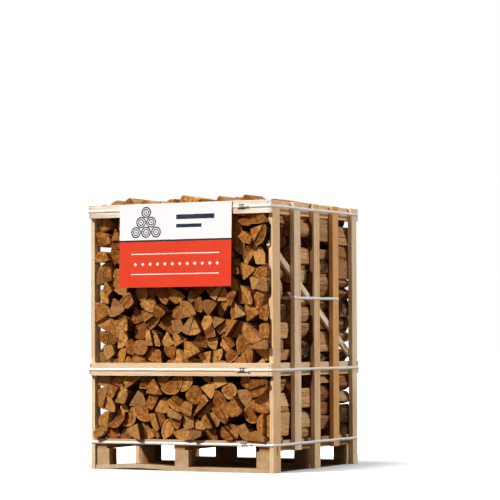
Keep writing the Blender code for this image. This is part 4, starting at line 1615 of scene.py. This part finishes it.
@dataclass
class LogRows:
    """The four rows of split logs, every log a closed mesh with sawn ends, cleft faces and bark."""

    finishes: Finishes
    seeds: tuple[int, ...] = (46, 108, 122, 75)
    length: float = 0.250
    end_inset: float = 0.012
    end_recess: float = 0.022
    end_reach: float = 0.034
    sign_reach: float = 0.012
    rail_reach: float = -0.003
    lift: float = 0.0005
    rail_face: float = 0.528
    brace_face: float = 0.532
    brace_half_width: float = 0.018
    tie_face: float = 0.5255
    tie_span: Point2 = (0.937, 0.953)
    sign_left: float = -0.365
    sign_right: float = 0.341
    sign_foot: float = 1.008
    swell: float = 0.0045
    edge_step: float = 0.034
    corner: float = 0.006
    ragged: float = 0.055
    open_side: float = 0.035
    open_top: float = 0.015
    arc: float = math.radians(17)
    wobble: float = 0.0008
    cleave_area: float = 0.0058
    cleave_share: float = 0.62
    bark_share: float = 0.42

    def build(self) -> int:
        """Builds every row and returns the number of logs."""
        total = 0
        for row, seed in enumerate(self.seeds):
            stack = Stack(self.bands(row))
            logs = stack.fill(seed)
            total += len(logs)
            self.build_row(row, stack, logs)
        return total

    def span(self, row: int) -> Point2:
        """Front and rear end of a row."""
        pitch = (2 * CRATE.half_depth - 2 * self.end_inset - self.length) / (len(self.seeds) - 1)
        front = -CRATE.half_depth + self.end_inset + row * pitch
        return front, front + self.length

    def bands(self, row: int) -> list[Band]:
        """What stands inside the slats along a row, with heights from the deck.

        Args:
            row: Number of the row.

        Returns:
            Rails, brace and tie strap of both sides.
        """
        front, back = self.span(row)
        slope = (CRATE.brace_rear[1] - CRATE.brace_front[1]) / (CRATE.brace_rear[0] - CRATE.brace_front[0])
        half = self.brace_half_width * math.hypot(1.0, slope)
        found = []
        for side in (-1, 1):
            ends = [min(max(side * y, CRATE.brace_front[0]), CRATE.brace_rear[0]) for y in (front, back)]
            heights = [CRATE.brace_front[1] + slope * (y - CRATE.brace_front[0]) for y in ends]
            spans = [
                (self.rail_face, CRATE.rail_feet[0], CRATE.rail_feet[0] + CRATE.rail_height),
                (self.rail_face, CRATE.rail_feet[1], CRATE.rail_feet[1] + CRATE.rail_height + 0.045),
                (self.brace_face, min(heights) - half, max(heights) + half),
            ]
            if row in (0, len(self.seeds) - 1):
                spans.append((self.tie_face, *self.tie_span))
            found += [Band(side, face, low - CRATE.deck_top, high - CRATE.deck_top) for face, low, high in spans]
        return found

    def ends(self, row: int, section: Section, share: Point2, rng: random.Random) -> Point2:
        """Front and rear end of a log.

        Args:
            row: Number of its row.
            section: Its cross-section.
            share: How far out its ends stand, from 0 to 1.
            rng: Source of the random numbers.

        Returns:
            Both places along Y.
        """
        front, back = self.span(row)
        start, stop = (0.001 + self.ragged * rng.random() ** 2 for _ in range(2))
        start, stop = front + start, back - stop
        if row == 0:
            start = -CRATE.half_depth + self.end_place(section.placed, share[0], True)
            stop = start + self.length - self.end_inset - self.ragged * rng.random() ** 2
        elif row == len(self.seeds) - 1:
            stop = CRATE.half_depth - self.end_place(section.placed, share[1], False)
            start = stop - self.length + self.end_inset + self.ragged * rng.random() ** 2
        return start, stop

    def end_place(self, points: np.ndarray, share: float, has_sign: bool) -> float:
        """How far a log's end lies behind the slats' edges, negative where it stands out.

        Args:
            points: The log's outline, with heights from the deck.
            share: 0 for the furthest back, 1 for the furthest out.
            has_sign: Whether the sign hangs at this end.

        Returns:
            The distance.
        """
        low, high = points.min(axis=0), points.max(axis=0)
        foot, top = low[1] + CRATE.deck_top + self.lift, high[1] + CRATE.deck_top + self.lift
        reach = self.end_reach
        if has_sign and top > self.sign_foot and high[0] > self.sign_left and low[0] < self.sign_right:
            reach = self.sign_reach
        for rail in CRATE.rail_feet:
            if foot < rail + CRATE.rail_height - self.rail_reach and top > rail + self.rail_reach:
                reach = self.rail_reach
        return self.end_recess - (self.end_recess + reach) * share**2

    def section(self, stack: Stack, log: SplitLog, number: int, rng: random.Random) -> Section:
        """The uneven cross-section of a log, its straight sides kept straight.

        Args:
            stack: The room it lies in.
            log: The log.
            number: Its number in the room.
            rng: Source of the random numbers.

        Returns:
            The section.
        """
        corners, barked = log.corners(self.arc)
        points: list[np.ndarray] = []
        flags: list[bool] = []
        sides: list[int] = []
        for i, flag in enumerate(barked):
            start, end = corners[i], corners[(i + 1) % len(corners)]
            cuts = 1 if flag else max(1, round(float(np.linalg.norm(end - start)) / self.edge_step))
            for k in range(cuts):
                points.append(start + (end - start) * k / cuts)
                flags.append(flag)
                sides.append(0 if flag else i + 1)
        local = np.array(points)
        free = stack.swelling(log.placed(local), number, self.swell)
        distance = (free + np.roll(free, -1)) / 2
        for side in set(sides) - {0}:
            members = [i for i, of_side in enumerate(sides) if of_side == side]
            distance[members] = np.percentile(distance[members], 30)
        local = local + self.offsets(local, distance)
        wave = [rng.uniform(0, math.tau) for _ in range(2)]
        turn = np.arctan2(local[:, 1], local[:, 0])
        bulge = 1.0 + 0.022 * np.sin(2 * turn + wave[0]) + 0.012 * np.sin(5 * turn + wave[1])
        on_bark = np.array(flags) | np.roll(np.array(flags), 1)
        local = np.where(on_bark[:, None], local * bulge[:, None], local)
        local = local + np.array([[rng.gauss(0, 1), rng.gauss(0, 1)] for _ in points]) * self.wobble
        keeps_bark = rng.random() < self.bark_share
        local, flags = self.softened(local, flags)
        return Section(log.placed(local), local, tuple(flag and keeps_bark for flag in flags))

    def softened(self, points: np.ndarray, flags: Sequence[bool]) -> tuple[np.ndarray, list[bool]]:
        """Blunts the sharp corners of an outline.

        Args:
            points: The outline, counter-clockwise.
            flags: Whether bark follows each point.

        Returns:
            The new outline and flags.
        """
        blunt: list[np.ndarray] = []
        kept: list[bool] = []
        for i, here in enumerate(points):
            back, ahead = points[i - 1] - here, points[(i + 1) % len(points)] - here
            near, far = float(np.linalg.norm(back)), float(np.linalg.norm(ahead))
            turns_left = back[1] * ahead[0] - back[0] * ahead[1] > 0.0
            if turns_left and -float(back @ ahead) < 0.82 * near * far:
                cut = min(self.corner, 0.3 * near, 0.3 * far)
                blunt += [here + back * (cut / near), here + ahead * (cut / far)]
                kept += [bool(flags[i - 1] and flags[i]), flags[i]]
            else:
                blunt.append(here)
                kept.append(flags[i])
        return np.array(blunt), kept

    def offsets(self, points: np.ndarray, distance: np.ndarray) -> np.ndarray:
        """Moves of an outline's points that push each side out by its own distance.

        Args:
            points: The outline, counter-clockwise.
            distance: How far the side after each point moves out.

        Returns:
            The move of each point.
        """
        after = normals(np.roll(points, -1, axis=0) - points)
        before, d_before = np.roll(after, 1, axis=0), np.roll(distance, 1)
        cross = before[:, 0] * after[:, 1] - before[:, 1] * after[:, 0]
        mean = (before + after) / 2 * ((d_before + distance) / 2)[:, None]
        safe = np.where(np.abs(cross) < 0.2, 1.0, cross)
        x = (d_before * after[:, 1] - distance * before[:, 1]) / safe
        z = (distance * before[:, 0] - d_before * after[:, 0]) / safe
        move = np.where((np.abs(cross) < 0.2)[:, None], mean, np.stack((x, z), axis=1))
        size = np.linalg.norm(move, axis=1)
        most = 1.5 * np.maximum(d_before, distance) + 1e-9
        return move * np.minimum(1.0, most / (size + 1e-9))[:, None]

    def build_row(self, row: int, stack: Stack, logs: list[SplitLog]) -> None:
        """Builds one row as a joined mesh.

        Args:
            row: Its number, from the front.
            stack: The room it lies in.
            logs: Its logs.
        """
        rng = random.Random(1000 + row)
        shape = LogMesh()
        for number, log in enumerate(logs, 1):
            section = self.section(stack, log, number, rng)
            pieces = [section]
            if section.area > self.cleave_area and rng.random() < self.cleave_share:
                pieces = section.cleft(log.angle + rng.uniform(-0.5, 0.5) + rng.choice((0.0, math.pi / 2)), 0.003)
            for k, piece in enumerate(pieces):
                share = log.stagger if k == 0 else (rng.random(), rng.random())
                start, stop = self.ends(row, piece, share, rng)
                low, high = piece.placed.min(axis=0), piece.placed.max(axis=0)
                beside = max(high[0], -low[0]) > stack.half_width - self.open_side
                is_open = beside or high[1] > stack.height - self.open_top
                shape.add(piece, start, stop, CRATE.deck_top + self.lift, bool(is_open), rng)
        finishes = (self.finishes.log_end, self.finishes.split_wood, self.finishes.bark)
        name = f"log_row_{row + 1}_split"
        hand_over(link(name, shape.mesh(name, finishes)), Slot.LOGS, f"log_row_{row + 1}")
        LOG.info("log row %d: %d logs, %d faces", row + 1, len(logs), len(shape.faces))


# Straps, buckles, nails and sign


@dataclass
class Bindings:
    """The straps round the crate, the tie strap through the load, and the wire buckles with their tails."""

    finishes: Finishes
    sweep: ShapeTree = field(default_factory=sweep_tree)
    width: float = 0.016
    thick: float = 0.0009
    stand_off: float = 0.0005
    buckle_x: float = 0.400
    buckle_half: Point2 = (0.020, 0.0112)
    buckle_corner: float = 0.003
    buckle_bars: tuple[Point2, ...] = ((-0.010, 0.001), (0.001, 0.003), (0.010, -0.001))
    bar_arch: float = 0.0058
    wire: float = 0.0032
    tail_narrow: float = 0.92
    heights: tuple[tuple[str, float], ...] = (("bottom", 0.149), ("middle", 0.5535), ("top", 1.437))
    tie_height: float = 0.945
    tie_bends: tuple[Point2, ...] = ((0.5260, -0.2604), (0.5490, -0.2730))
    tie_rear_bends: tuple[Point2, ...] = ((0.5490, 0.2860), (0.5260, 0.2604))

    @property
    def reach(self) -> float:
        """Distance from a face to the middle of a strap that lies on it."""
        return self.stand_off + self.thick / 2

    def path(self, name: str, points: Sequence[Sequence[float]], cyclic: bool) -> bpy.types.Curve:
        """Makes a path for the sweep.

        Args:
            name: Name of the curve.
            points: Its points.
            cyclic: Whether it closes.

        Returns:
            The curve.
        """
        curve = bpy.data.curves.new(name, "CURVE")
        curve.dimensions = "3D"
        spline = curve.splines.new("POLY")
        spline.points.add(len(points) - 1)
        for point, place in zip(spline.points, points):
            point.co = (*place, 1.0)
        spline.use_cyclic_u = cyclic
        return curve

    def strip(self, name: str, points: Sequence[Sequence[float]], cyclic: bool, width: float) -> bpy.types.Object:
        """Makes a strip of strapping.

        Args:
            name: Name of the strip.
            points: Points of its route.
            cyclic: Whether it closes.
            width: Its width.

        Returns:
            The strip.
        """
        values = {"Width": width, "Thickness": self.thick, "Finish": self.finishes.strap}
        return self.sweep.make(name, values, self.path(f"{name}_path", points, cyclic))

    def rod(self, name: str, points: Sequence[Sequence[float]], cyclic: bool) -> bpy.types.Object:
        """Makes a length of bent wire.

        Args:
            name: Name of the wire.
            points: Points of its route.
            cyclic: Whether it closes.

        Returns:
            The wire.
        """
        values = {"Thickness": self.wire, "Round": True, "Finish": self.finishes.wire}
        return self.sweep.make(name, values, self.path(f"{name}_path", points, cyclic))

    def rounded(
        self, corners: Sequence[Point2], height: float, radius: float, seed: int
    ) -> list[tuple[float, float, float]]:
        """A closed route round plan corners, bent softly at each and a little uneven between them.

        Args:
            corners: Plan corners, counter-clockwise.
            height: Height of the strap's middle.
            radius: Bend at each corner.
            seed: Seed of the unevenness.

        Returns:
            The points of the route.
        """
        rng = random.Random(seed)
        route: list[tuple[float, float, float]] = []
        count = len(corners)
        for i in range(count):
            before, here, after = (Vector(corners[(i + k) % count]) for k in (-1, 0, 1))
            into, out = (here - before).normalized(), (after - here).normalized()
            for share in (0.0, 0.25, 0.5, 0.75, 1.0):
                start, end = here - into * radius, here + out * radius
                bend = start.lerp(here, share).lerp(here.lerp(end, share), share)
                route.append((bend.x, bend.y, height))
            parts = max(1, round((after - here).length / 0.12))
            for k in range(1, parts):
                between = here.lerp(after, k / parts)
                route.append((between.x, between.y, height + rng.uniform(-0.0012, 0.0012)))
        return route

    def build(self) -> int:
        """Builds straps, tie, buckles and tails, and returns the number of pieces."""
        made = 0
        for index, (level, height) in enumerate(self.heights):
            face = CRATE.half_depth + (0.0 if level == "bottom" else CRATE.rail_thick)
            x, y = CRATE.half_width + self.reach, face + self.reach
            route = self.rounded([(-x, -y), (x, -y), (x, y), (-x, y)], height, 0.002, 60 + index)
            hand_over(self.strip(f"strap_{level}_woven", route, True, self.width), Slot.STRAP, f"strap_{level}")
            self.build_buckle(level, -y - self.thick / 2, height, index)
            made += 3
        self.build_tie()
        return made + 1

    def build_tie(self) -> None:
        """Builds the tie strap, which bends over the outer edges of the slats that it holds."""
        outside = CRATE.half_width + self.reach
        corners = [(outside, self.tie_bends[-1][1]), (outside, self.tie_rear_bends[0][1])]
        half = [*self.tie_bends, *corners, *self.tie_rear_bends]
        route = self.rounded(half + [(-x, -y) for x, y in half], self.tie_height, 0.0008, 71)
        hand_over(self.strip("tie_strap_woven", route, True, self.width), Slot.STRAP, "tie_strap")

    def build_buckle(self, level: str, face: float, height: float, index: int) -> None:
        """Builds a wire buckle and the strap's loose tails at it.

        Args:
            level: Name of the strap.
            face: Y of the strap's outer face.
            height: Height of the strap's middle.
            index: Number of the strap, which varies the tails.
        """
        rng = random.Random(80 + index)
        x, y, z = self.buckle_x, face - 0.0018, height
        (long, half), cut = self.buckle_half, self.buckle_corner
        quarter = [(-long, cut - half), (cut - long, -half), (long - cut, -half), (long, cut - half)]
        ring = quarter + [(a, -b) for a, b in reversed(quarter)]
        parts = [self.rod(f"buckle_{level}_frame", [(x + a, y, z + b) for a, b in ring], True)]
        for offset, lean in self.buckle_bars:
            middle = (x + offset, y - self.bar_arch, z)
            bar = [(x + offset - lean, y, z - half), middle, (x + offset + lean, y, z + half)]
            parts.append(self.rod(f"buckle_{level}_bar", bar, False))
        hand_over(self.joined(f"buckle_{level}_wire", parts), Slot.WIRE, f"buckle_{level}")

        tails = []
        for side in (-1, 1):
            tip = rng.uniform(0.030, 0.048)
            drop = rng.uniform(-0.012, 0.004)
            bends = (
                (-0.004, 0.0012, 0.0),
                (0.006, 0.0036, 0.0),
                (0.014, 0.0040, 0.2),
                (0.024, 0.0046, 0.5),
                (tip, 0.0075, 1.0),
            )
            route = [(x + side * out, face - off, z + drop * fall) for out, off, fall in bends]
            tails.append(self.strip(f"tail_{level}", route, False, self.width * self.tail_narrow))
        hand_over(self.joined(f"strap_tails_{level}", tails), Slot.STRAP)

    def joined(self, name: str, parts: list[bpy.types.Object]) -> bpy.types.Object:
        """Joins parts of one piece into one mesh.

        Args:
            name: Name of the piece.
            parts: Its parts, all with one material.

        Returns:
            The joined piece.
        """
        bm = bmesh.new()
        finish = parts[0].data.materials[0]
        for part in parts:
            bm.from_mesh(part.data)
            bpy.data.objects.remove(part)
        mesh = bpy.data.meshes.new(name)
        bm.to_mesh(mesh)
        bm.free()
        mesh.materials.append(finish)
        return link(name, mesh)


@dataclass
class Nails:
    """Nail heads where boards are fixed to one another."""

    finishes: Finishes
    tree: ShapeTree = field(default_factory=nail_tree)
    slat_centres: tuple[float, ...] = (-0.4855, -0.2330, 0.0060, 0.2480, 0.4955)
    rail_levels: tuple[float, ...] = (0.5555, 1.4345)
    outer: float = 0.5751
    end_face: float = 0.5496
    spread: float = 0.016

    def places(self) -> list[tuple[Vector, Vector]]:
        """Place and direction of every nail head.

        Returns:
            The list.
        """
        rng = random.Random(97)
        found: list[tuple[Vector, Vector]] = []
        for side in (-1, 1):
            out = Vector((side, 0.0, 0.0))
            for i, centre in enumerate(self.slat_centres):
                levels = list(self.rail_levels)
                levels.append(0.130 if i in (1, 3) else 0.080)
                for level in levels:
                    for offset in (-1, 1):
                        y = side * centre + offset * (self.spread + rng.uniform(-0.004, 0.004))
                        z = level + offset * 0.018 + rng.uniform(-0.006, 0.006)
                        found.append((Vector((side * self.outer, y, z)), out))
        for end in (-1, 1):
            out = Vector((0.0, end, 0.0))
            for level in self.rail_levels:
                for side in (-1, 1):
                    for offset in (-1, 1):
                        x = side * 0.5625 + rng.uniform(-0.004, 0.004)
                        z = level + offset * (0.022 + rng.uniform(-0.004, 0.003))
                        found.append((Vector((x, end * self.end_face, z)), out))
        return found

    def build(self) -> int:
        """Builds all nail heads as one piece and returns their number."""
        places = self.places()
        aims = [tuple(aim) for _, aim in places]
        mesh = new_mesh("nail_points", [tuple(place) for place, _ in places], [], {"aim": aims})
        heads = self.tree.make("nail_heads", {"Finish": self.finishes.wire}, mesh)
        hand_over(heads, Slot.WIRE)
        return len(places)


@dataclass
class Sign:
    """The printed panel that hangs from the top front rail."""

    finishes: Finishes
    width: float = 0.706
    height: float = 0.462
    thick: float = 0.004
    left: float = -0.365
    top: float = 1.469
    back: float = -0.5525
    lean: float = math.radians(1.6)
    columns: int = 24
    rows: int = 16
    belly: float = 0.0012

    def build(self) -> int:
        """Builds the panel and returns 1."""
        mesh = self.panel()
        mesh.materials.append(self.finishes.sign)
        piece = link("sign_panel_printed", mesh)
        hand_over(piece, Slot.SIGN, "sign_panel")
        return 1

    def panel(self) -> bpy.types.Mesh:
        """Makes the panel's mesh, slightly wavy, with its print coordinates.

        Returns:
            The mesh.
        """
        verts, prints, faces = [], [], []
        for layer in (0, 1):
            for r in range(self.rows + 1):
                for c in range(self.columns + 1):
                    u, v = c / self.columns, r / self.rows
                    wave = self.belly * math.sin(math.pi * u) * math.sin(1.7 * math.pi * v)
                    down = (1 - v) * self.height
                    y = self.back - (self.thick if layer else 0.0) - down * math.sin(self.lean) + abs(wave)
                    z = self.top - down * math.cos(self.lean)
                    verts.append((self.left + u * self.width, y, z))
                    prints.append((u * self.width, v * self.height, 0.0))
        stride = self.columns + 1
        shell = (self.rows + 1) * stride
        for r in range(self.rows):
            for c in range(self.columns):
                a = r * stride + c
                faces.append((a, a + stride, a + stride + 1, a + 1))
                faces.append((shell + a, shell + a + 1, shell + a + stride + 1, shell + a + stride))
        rim = list(range(stride)) + [r * stride + self.columns for r in range(1, self.rows + 1)]
        rim += [self.rows * stride + c for c in range(self.columns - 1, -1, -1)]
        rim += [r * stride for r in range(self.rows - 1, 0, -1)]
        for i, a in enumerate(rim):
            b = rim[(i + 1) % len(rim)]
            faces.append((a, b, shell + b, shell + a))
        mesh = new_mesh("sign_panel_printed", verts, faces, {"print": prints})
        face_outwards(mesh)
        return mesh


@dataclass(frozen=True)
class Lamp:
    """A distant soft light: the way it shines, its strength and how wide it looks."""

    name: str
    elevation: float
    azimuth: float
    energy: float
    width: float

    def build(self) -> None:
        """Adds the light. The azimuth is where it stands, seen from above, from the front towards the right."""
        lamp = bpy.data.lights.new(self.name, "SUN")
        lamp.energy = self.energy
        lamp.angle = math.radians(self.width)
        made = bpy.data.objects.new(self.name, lamp)
        made.rotation_euler = (math.radians(90 - self.elevation), 0.0, math.radians(self.azimuth))
        bpy.context.scene.collection.objects.link(made)


@dataclass
class Studio:
    """Floor, light and camera."""

    camera_place: tuple[float, float, float] = (6.11, -11.22, 0.73)
    yaw: float = math.radians(27.95)
    pitch: float = math.radians(2.23)
    roll: float = math.radians(-0.26)
    lens: float = 161.4
    floor_bounce: Colour = (0.14, 0.11, 0.085, 1.0)
    # colour of the painted shadow on the floor under the pallet
    floor_painted_shadow: Colour = (0.016, 0.010, 0.006, 1.0)
    sky: float = 0.44
    front_sky: float = 0.22
    lamps: tuple[Lamp, ...] = (
        Lamp("key", elevation=41, azimuth=-36, energy=4.35, width=5),
        Lamp("fill", elevation=32, azimuth=112, energy=1.75, width=8),
    )

    def build(self) -> None:
        """Builds the stage."""
        self.build_floor()
        self.build_sky()
        for lamp in self.lamps:
            lamp.build()
        self.build_camera()
        bpy.context.scene.view_settings.view_transform = "Standard"

    def build_floor(self) -> None:
        """Lays a plain pale floor that sends little of its light back up, with a painted shadow under the pallet and a
        painted glow that washes the cast shadow out away from the crate.
        """
        bm = bmesh.new()
        bmesh.ops.create_grid(bm, x_segments=1, y_segments=1, size=60.0)
        mesh = bpy.data.meshes.new("floor")
        bm.to_mesh(mesh)
        bm.free()
        finish, g, shader = new_finish("pale_floor")
        seen = g.node("ShaderNodeLightPath").outputs["Is Camera Ray"]
        footprint = (CRATE.half_width, CRATE.half_depth, 0.0)
        place = g.vector("ABSOLUTE", g.object_place())
        outside = g.vector("MAXIMUM", g.vector("SUBTRACT", place, footprint), (0.0, 0.0, 0.0))
        # Painted light: a glow seen only by the camera, faint at the crate's footprint and strong 0.62 m away, fades
        # the cast shadow to white
        glow = g.spread(g.length(outside), 0.0, 0.62, 0.010, 0.86)
        # Painted shadow: inside the crate's footprint the floor seen by the camera turns to the painted shadow colour
        share_x, share_y, _ = g.split(g.vector("DIVIDE", place, footprint))
        edge = g.spread(g.math("MAXIMUM", share_x, share_y), 0.90, 1.0)
        pale = g.mix(edge, self.floor_painted_shadow, (0.9, 0.9, 0.9, 1.0))
        connect(g, shader, g.mix(seen, self.floor_bounce, pale), 0.95, None, 0.0, 0.0)
        shader.inputs["Emission Color"].default_value = (1.0, 1.0, 1.0, 1.0)
        g.tree.links.new(g.math("MULTIPLY", glow, seen), shader.inputs["Emission Strength"])
        mesh.materials.append(finish)
        link("floor", mesh)

    def build_sky(self) -> None:
        """Sets a soft grey surround, darker at the front right, behind a plain white backdrop."""
        world = bpy.data.worlds.new("studio")
        bpy.context.scene.world = world
        world.use_nodes = True
        g = Graph(world.node_tree)
        background = world.node_tree.nodes["Background"]
        aim = g.vector("NORMALIZE", g.node("ShaderNodeTexCoord").outputs["Generated"])
        towards = g.node("ShaderNodeVectorMath", {0: aim, 1: (0.66, -0.74, 0.0)}, operation="DOT_PRODUCT").outputs[1]
        soft = g.spread(towards, -0.2, 0.8, self.sky, self.front_sky)
        seen = g.node("ShaderNodeLightPath").outputs["Is Camera Ray"]
        strength = g.math("ADD", g.math("MULTIPLY", soft, g.math("SUBTRACT", 1.0, seen)), seen)
        g.tree.links.new(strength, background.inputs["Strength"])
        background.inputs["Color"].default_value = (1.0, 1.0, 1.0, 1.0)

    def build_camera(self) -> None:
        """Sets the camera where the photograph was taken from."""
        camera = bpy.data.cameras.new("camera")
        camera.lens = self.lens
        camera.sensor_width = 36.0
        camera.clip_end = 200.0
        made = bpy.data.objects.new("camera", camera)
        turn = Matrix.Rotation(self.yaw, 4, "Z") @ Matrix.Rotation(math.pi / 2 + self.pitch, 4, "X")
        made.matrix_world = Matrix.Translation(self.camera_place) @ turn @ Matrix.Rotation(self.roll, 4, "Z")
        bpy.context.scene.collection.objects.link(made)
        bpy.context.scene.camera = made


def main() -> None:
    """Builds the crate piece by piece and sets the stage."""
    logging.basicConfig(level=logging.INFO, format="%(name)s: %(message)s")
    finishes = Finishes.build()
    joiner = Joiner(finishes)
    LOG.info("pallet: %d pieces", Pallet(joiner).build())
    LOG.info("side panels: %d pieces", SidePanels(joiner).build())
    LOG.info("end rails: %d pieces", EndRails(joiner).build())
    LOG.info("firewood: %d logs", LogRows(finishes).build())
    LOG.info("straps and buckles: %d pieces", Bindings(finishes).build())
    LOG.info("nails: %d heads", Nails(finishes).build())
    LOG.info("sign: %d panel", Sign(finishes).build())
    Studio().build()


if __name__ == "__main__":
    main()
